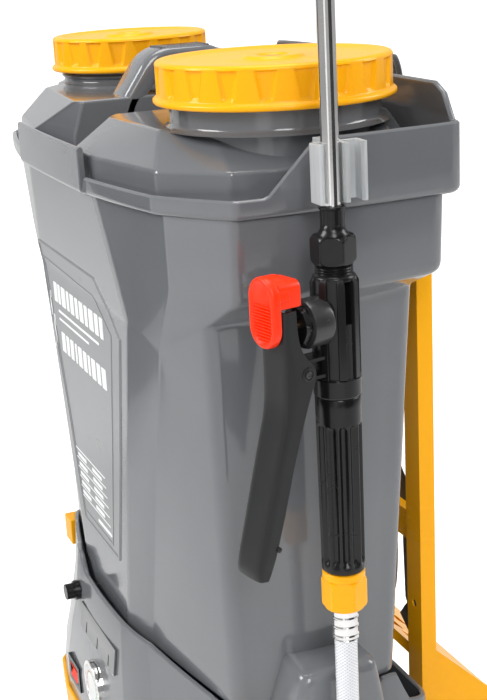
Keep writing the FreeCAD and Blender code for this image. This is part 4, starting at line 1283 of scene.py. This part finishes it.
def shoulder_strap(side):
    """A padded strap with bound edges, laid over the yoke and down the wearer's side."""
    name = "shoulder_strap_right" if side > 0 else "shoulder_strap_left"
    low, high = node_box(name)
    middle = (low.x + high.x) / 2
    spine = []
    for k in range(61):
        t = k / 60
        z = high.z - 1 - (high.z - low.z - 2) * t
        sway = side * 3.0 * sin(pi * t)
        wave = 0.7 * sin(9.0 * t + 0.6) * sin(pi * t)
        spine.append(Vector((middle + sway, (low.y + high.y) / 2 + wave, z)))

    def width_at(t):
        return 50 - 16 * smooth_step((t - 0.62) / 0.38)

    def section(i):
        t = i / 60
        width = width_at(t)
        ends = min(1.0, 0.35 + 14 * min(t, 1 - t))
        thick = 9.4 * ends
        crease = 0.4 * sin(t * 46.0)
        pairs = []
        for k in range(28):
            turn = 2 * pi * k / 28
            c, s = cos(turn), sin(turn)
            a = width / 2 * copysign(abs(c) ** 0.5, c)
            pairs.append((a, thick / 2 * copysign(abs(s) ** 0.7, s) + (crease if abs(c) < 0.8 else 0) * s))
        return pairs

    rings = sweep(spine, section, (1, 0, 0))
    piece = new_mesh(name + "_pad", *skin_rings(rings), "padding", "chassis", 180)
    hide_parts(name)
    for edge in (-1, 1):
        line = [spot + Vector((edge * (width_at(i / 60) / 2 - 0.6), 0, 0)) for i, spot in enumerate(spine)]
        piping("%s_binding_%d" % (name, edge + 1), line, 1.9, "binding", "chassis", False)
        inner = [p + Vector((-edge * 5.0, 4.6, 0)) for p in line[2:-2]]
        dashes("%s_stitch_%d" % (name, edge + 1), inner, "chassis", False)
    ribbon(name + "_tape", [p + Vector((0, 5.2, 0)) for p in spine[:46]], 12, 1.3, "webbing")


def ribbon(name, path, width, thick, material):
    """Flat webbing along a path, its face towards the wearer."""
    path = [Vector(p) for p in path]
    rings = []
    for i, spot in enumerate(path):
        ahead = (path[min(i + 1, len(path) - 1)] - path[max(i - 1, 0)]).normalized()
        side = ahead.cross(Vector((0, 1, 0))).normalized()
        out = side.cross(ahead)
        ring = []
        for a, b in round_box_section(width, thick, thick * 0.45, 3):
            ring.append(spot + side * a + out * b)
        rings.append(ring)
    piece = new_mesh(name, *skin_rings(rings), material, "chassis", 50)
    return piece


def webbing():
    for side in (-1, 1):
        corners = [(side * 68, 93.2, 303), (side * 70, 93.4, 286), (side * 104, 93.2, 248),
                   (side * 108, 93, 176), (side * 98, 92.6, 162)]
        path = fillet_path(corners, 26, 10)
        path = [a + (b - a) * k / 4 for a, b in zip(path, path[1:]) for k in range(4)] + [path[-1]]
        wavy = [p + Vector((0, 0.8 * sin(i * 0.12), 0)) for i, p in enumerate(path)]
        name = "webbing_right" if side > 0 else "webbing_left"
        piece = ribbon(name, wavy, 20, 1.5, "webbing")
        if side > 0:
            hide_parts("strap_webbing")


def soft_goods():
    stitched("yoke_pad", 5.0, "shoulder_yoke", 0.25, "chassis", (0.84, 0.5))
    stitched("lumbar_cushion", 5.0, "lumbar_pad", 0.18, "chassis", (0.86, 0.45))
    for side in (-1, 1):
        shoulder_strap(side)
    webbing()


# ---- Base: the moulded body round the tank's foot, its pump cover, hinge lugs and hose ears ----
BASE_LEVELS = [
    [(74, -89, 12), (118, -81, 12), (163, -50, 12), (163, 57, 12)],
    [(76, -92, 15), (120, -84, 15), (166, -52, 15), (166, 60, 15)],
    [(80, -98.5, 48), (123, -90, 48), (172.5, -57, 48), (172.5, 65, 48)],
    [(82, -102, 75), (125, -94, 75), (177, -60, 75), (177, 68, 75)],
    [(74, -102.2, 108), (112, -93.4, 108), (177.2, -60.5, 108), (177.2, 68, 108)],
    [(62, -100, 140), (96, -91, 140), (177, -61, 140), (177, 68, 140)],
    [(55, -97.4, 160), (87, -88, 158), (176.6, -62, 156), (176.6, 68, 149)],
    [(50, -94.4, 185.5), (79, -85.4, 181.5), (176, -63, 174.5), (176, 68, 153)],
]
BASE_RADII = [16, 14, 12, 16]
BASE_BOWS = [0.8, 1.2, 1.4, 1.0]


def base_outline(half, inset=0.0):
    corners = whole(half)
    radii = BASE_RADII + BASE_RADII[::-1]
    bows = BASE_BOWS[:3] + [0.6] + BASE_BOWS[2::-1] + [1.6]
    outline = rounded_outline(corners, radii, bows, 6, 22)
    return shrink(outline, inset) if inset else outline


def rim_rise(point):
    """Extra height of the rim: a hump on the control side and an arch at the rear corners."""
    rise = 0.0
    if point.y < -80:
        rise += 12.0 * smooth_step((point.x + 82) / 16) * smooth_step((-30 - point.x) / 16)
    if abs(point.x) > 150:
        along = smooth_step((point.y - 20) / 14) * smooth_step((52 - point.y) / 10)
        straight = 174.5 + (153 - 174.5) * (point.y + 63) / 131
        rise += (176.5 - straight) * along + (174.5 - straight) * smooth_step((24 - point.y) / 6)
    return rise


def cut_away(piece, cutters):
    """Removes simple closed meshes, given as (points, faces), from a piece."""
    points, faces = joined(cutters)
    mesh = bpy.data.meshes.new("cutter")
    mesh.from_pydata([tuple(Vector(p) * MM) for p in points], [], faces)
    solid = bmesh.new()
    solid.from_mesh(mesh)
    bmesh.ops.recalc_face_normals(solid, faces=solid.faces)
    solid.to_mesh(mesh)
    solid.free()
    cutter = bpy.data.objects.new("cutter", mesh)
    bpy.context.scene.collection.objects.link(cutter)
    step = piece.modifiers.new("openings", "BOOLEAN")
    step.operation = "DIFFERENCE"
    step.solver = "EXACT"
    step.object = cutter
    with bpy.context.temp_override(object=piece, active_object=piece, selected_objects=[piece]):
        bpy.ops.object.modifier_apply(modifier="openings")
    bpy.data.objects.remove(cutter)
    bpy.data.meshes.remove(mesh)
    piece.data.shade_smooth()
    piece.data.set_sharp_from_angle(angle=radians(32))


def block_mesh(low, high):
    outline = [(low[0], low[1]), (high[0], low[1]), (high[0], high[1]), (low[0], high[1])]
    return skin_rings([[Vector((x, y, z)) for x, y in outline] for z in (low[2], high[2])])


def bar_mesh(radius, centre, low, high, steps=40):
    """A round bar along y."""
    rings = lathe([(radius, low), (radius, high)], (centre[0], 0, centre[1]), steps, "y")
    return skin_rings(rings)


def base_body():
    rings = [base_outline(half) for half in BASE_LEVELS]
    top = rings[-1]
    for lift, inset in ((0.9, 0.3), (1.5, 1.3), (1.5, 2.6), (0.9, 3.4), (-6.0, 3.6)):
        rings.append([p + Vector((0, 0, lift)) for p in shrink(top, inset)])
    for k in (7, 8, 9, 10, 11, 12):
        rings[k] = [p + Vector((0, 0, rim_rise(p))) for p in rings[k]]
    inner = [(BASE_LEVELS[5], 4.0), (BASE_LEVELS[3], 4.0), (BASE_LEVELS[1], 4.0)]
    rings += [base_outline(half, inset) for half, inset in inner]
    piece = new_mesh("base_body", *skin_rings(rings), "base", "chassis", 32)
    gauge, knob = node_middle("gauge_bezel"), node_middle("regulator_knob")
    switch, socket = node_middle("switch_housing"), node_middle("charging_socket")
    cutters = [block_mesh((-200, -39.8, 52.2), (-165, 29.8, 141.8)),
               block_mesh((switch.x - 11.8, -125, switch.z - 7.8), (switch.x + 11.8, -80, switch.z + 7.8)),
               bar_mesh(8.8, (gauge.x, gauge.z), -125, -80), bar_mesh(2.9, (knob.x, knob.z), -125, -80),
               bar_mesh(7.8, (socket.x, 98.0), -125, -80)]
    cut_away(piece, cutters)
    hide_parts("base_shell")


def box_rings(levels, radius, steps=6):
    """Rings of a rounded rectangle, each level (x0, x1, y0, y1, z)."""
    return [[Vector((x, y, level[4])) for x, y in round_rectangle(*level[:4], radius,
                                                                  steps)] for level in levels]


def base_fittings():
    levels = [(160, 178, -36, 13, 42), (160, 187, -38, 15, 44), (160, 206, -45, 22, 79),
              (160, 207.4, -46, 23, 84), (160, 207.4, -46, 23, 162), (160, 207.2, -45.4, 22.6, 168),
              (160, 206.2, -34.6, 16.2, 203), (160, 205.4, -33.6, 15.4, 206.6),
              (160, 203.2, -32, 13.8, 209.2), (160, 199, -29, 11, 210.3)]
    new_mesh("pump_cover", *skin_rings(box_rings(levels, 6.5)), "base", "chassis", 40)
    z = node_middle("outlet_pin").z
    for name, low, high in (("hose_ear_front", -26.4, -22.5), ("hose_ear_rear", -7.5, -3.6)):
        outline = [(204, z - 10.5), (214, z - 9.2), (LANCE_X, z - 9)]
        outline += [(LANCE_X + 9 * sin(t), z - 9 * cos(t)) for t in (pi * k / 20 for k in range(1, 20))]
        outline += [(LANCE_X, z + 9), (214, z + 9.2), (204, z + 10.5)]
        skin = skin_rings([[Vector((x, y, h)) for x, h in outline] for y in (low, high)])
        bevel(new_mesh(name, *skin, "base", "chassis", 30), 0.7, 3, 40)
    for name, low, high in (("door_knuckle_front", -36, -20.4), ("door_knuckle_rear", 10.4, 26)):
        barrel = [(2.2, low), (3.1, low + 0.3), (3.2, low + 0.8), (3.2, high - 0.8), (3.1, high - 0.3),
                  (2.2, high)]
        turned_piece(name, barrel, (-180.5, 0, 47), "base", "chassis", 40, "y")
        skin = skin_rings(box_rings([(-181, -170, low + 0.4, high - 0.4, z) for z in (44.2, 49.8)], 0.6, 2))
        bevel(new_mesh(name + "_leaf", *skin, "base", "chassis", 30), 0.4, 2, 40)


# ---- CAD nodes that stay visible ----
def dress_cad_nodes():
    """Edge rounding and a procedural material on every CAD node that no piece stands for."""
    look = {
        ("black", 1.0): "pump_body", ("black", 0.8): "switch_housing strap_buckles",
        ("black", 0.6): "base_floor charging_socket", ("black", 0.5): "regulator_knob hose_swivel collet_nut",
        ("black", 0.4): "tank_outlet nozzle_elbow", ("black", 0.3): "big_cap_vent",
        ("amber", 1.0): "base_trim back_frame", ("amber", 0.4): "nozzle_cap", ("base", 0.8): "battery_door",
        ("panel", 1.2): "control_panel", ("battery", 1.0): "battery_pack", ("rubber", 0.8): "feet",
        ("rubber", 0.6): "socket_cover", ("rubber", 0.4): "big_cap_gasket small_cap_gasket",
        ("steel", 0.8): "pump_motor", ("steel", 0.3): "battery_door_pin frame_screws",
        ("tube", 0.3): "suction_hose delivery_link", ("basket", 0.4): "strainer_basket",
        ("chrome", 0.5): "gauge_bezel", ("card", 0.3): "gauge_lens", ("latch", 0.5): "rocker_switch",
        ("brass", 0.3): "outlet_pin",
    }
    styles = {node: style for style, nodes in look.items() for node in nodes.split()}
    for node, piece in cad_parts.items():
        if piece.hide_render:
            continue
        material, width = styles[node]
        piece.data.materials.clear()
        piece.data.materials.append(MATERIALS[material])
        with bpy.context.temp_override(object=piece, active_object=piece, selected_objects=[piece]):
            bpy.ops.mesh.customdata_custom_splitnormals_clear()
        piece.data.shade_smooth()
        weld = piece.modifiers.new("weld", "WELD")
        weld.merge_threshold = 1e-5
        flats = piece.modifiers.new("flats", "DECIMATE")
        flats.decimate_type = "DISSOLVE"
        flats.angle_limit = radians(1.0)
        bevel(piece, width, 3)


# ---- Stage ----
def stage_mesh(name, points, faces, colour, roughness, glow=0.0):
    mesh = bpy.data.meshes.new(name)
    mesh.from_pydata(points, [], faces)
    mesh.shade_smooth()
    piece = bpy.data.objects.new(name, mesh)
    bpy.context.scene.collection.objects.link(piece)
    material = bpy.data.materials.new(name)
    material.use_nodes = True
    surface = material.node_tree.nodes["Principled BSDF"]
    surface.inputs["Base Color"].default_value = (*colour, 1)
    surface.inputs["Roughness"].default_value = roughness
    surface.inputs["Emission Color"].default_value = (1, 1, 1, 1)
    seen = material.node_tree.nodes.new("ShaderNodeLightPath")
    level = material.node_tree.nodes.new("ShaderNodeMapRange")
    level.inputs["To Max"].default_value = glow
    material.node_tree.links.new(seen.outputs["Is Camera Ray"], level.inputs["Value"])
    material.node_tree.links.new(level.outputs[0], surface.inputs["Emission Strength"])
    mesh.materials.append(material)
    return piece


def floor():
    """A pale floor that curves up into a backdrop."""
    profile = [(3.5, 0.0), (-2.2, 0.0)]
    profile += [(-2.2 - 1.2 * sin(t), 1.2 - 1.2 * cos(t)) for t in (pi / 2 * k / 16 for k in range(1, 17))]
    profile += [(-3.4, 5.0)]
    points, faces = [], []
    for d, z in profile:
        points += [(d, -6.0, z), (d, 6.0, z)]
    for i in range(len(profile) - 1):
        faces.append((2 * i, 2 * i + 1, 2 * i + 3, 2 * i + 2))
    return stage_mesh("studio_floor", points, faces, (0.80, 0.80, 0.80), 0.6, 0.75)


def area_light(name, place, target, size, power):
    data = bpy.data.lights.new(name, "AREA")
    data.shape = "RECTANGLE"
    data.size, data.size_y = size
    data.energy = power
    light = bpy.data.objects.new(name, data)
    bpy.context.scene.collection.objects.link(light)
    light.location = place
    light.rotation_euler = (Vector(target) - Vector(place)).to_track_quat("-Z", "Y").to_euler()
    return light


def flag(name, corners, shade):
    """A plain card out of the camera's view, to be seen in the plastic's shine."""
    card = stage_mesh(name, corners, [(0, 1, 2, 3)], (shade, shade, shade), 0.9)
    card.visible_camera = False
    return card


def lights():
    area_light("key_light", (-0.5, -2.2, 1.9), (0, 0, 0.35), (1.2, 1.2), 62)
    area_light("side_light", (2.3, -0.5, 1.9), (0, 0, 0.3), (0.9, 1.4), 42)
    area_light("top_light", (-0.1, 0.1, 2.7), (0, 0, 0.4), (1.3, 1.3), 40)
    area_light("rear_light", (0.5, 2.3, 1.6), (0, 0, 0.3), (1.0, 1.2), 30)
    flag("flag_front", [(-0.47, -0.78, 0), (-0.70, -0.54, 0), (-0.70, -0.54, 1.0), (-0.47, -0.78, 1.0)], 0.02)
    flag("flag_side", [(1.9, 0.15, 0), (1.5, 1.6, 0), (1.5, 1.6, 1.4), (1.9, 0.15, 1.4)], 0.03)
    flag("card_lance", [(1.3, -0.62, 0.2), (1.1, -0.95, 0.2), (1.1, -0.95, 1.3), (1.3, -0.62, 1.3)], 0.95)
    world = bpy.data.worlds.new("studio_world")
    bpy.context.scene.world = world
    world.use_nodes = True
    tree = world.node_tree
    sky = tree.nodes["Background"]
    sky.inputs["Color"].default_value = (1, 1, 1, 1)
    seen = tree.nodes.new("ShaderNodeLightPath")
    level = tree.nodes.new("ShaderNodeMapRange")
    level.inputs["To Min"].default_value = 0.55
    level.inputs["To Max"].default_value = 1.6
    tree.links.new(seen.outputs["Is Camera Ray"], level.inputs["Value"])
    tree.links.new(level.outputs[0], sky.inputs["Strength"])


def camera():
    """The camera looks down on the lance side from the control side."""
    place = Vector((0.8511, -0.3137, 0.6190))
    target = Vector((0.0065, 0.0198, 0.3450))
    roll = radians(-3.03)
    ahead = (target - place).normalized()
    right = ahead.cross(Vector((0, 0, 1))).normalized()
    up = right.cross(ahead)
    level_right = right * cos(roll) + up * sin(roll)
    level_up = up * cos(roll) - right * sin(roll)
    data = bpy.data.cameras.new("camera")
    data.sensor_width = 36.0
    data.lens = 71.52
    data.clip_start = 0.01
    view = bpy.data.objects.new("camera", data)
    bpy.context.scene.collection.objects.link(view)
    view.matrix_world = Matrix.Translation(place) @ Matrix((level_right, level_up,
                                                            -ahead)).transposed().to_4x4()
    bpy.context.scene.camera = view


tank_body()
tank_collar()
deck_block("deck_block_big", True, 516.0)
deck_block("deck_block_small", False, 520.0)
neck("neck_big", BIG_CAP, BIG_NECK_R, 516.0, False)
neck("neck_small", SMALL_CAP, SMALL_NECK_R, 520.0, True)
carry_handle()
screw_cap("filler_cap_big", "big_cap", BIG_CAP, 66.5, 68.7, 60.1, "big_cap")
screw_cap("filler_cap_small", "small_cap", SMALL_CAP, 55.2, 57.3, 49.1, "small_cap")
lance()
grip()
hose_end()
bonnet()
valve_fittings()
lever()
pins()
latch()
clip()
label()
base_body()
base_fittings()
soft_goods()
dress_cad_nodes()
floor()
lights()
camera()
bpy.context.scene.view_settings.view_transform = "Standard"
bpy.context.scene.view_settings.exposure = -0.35
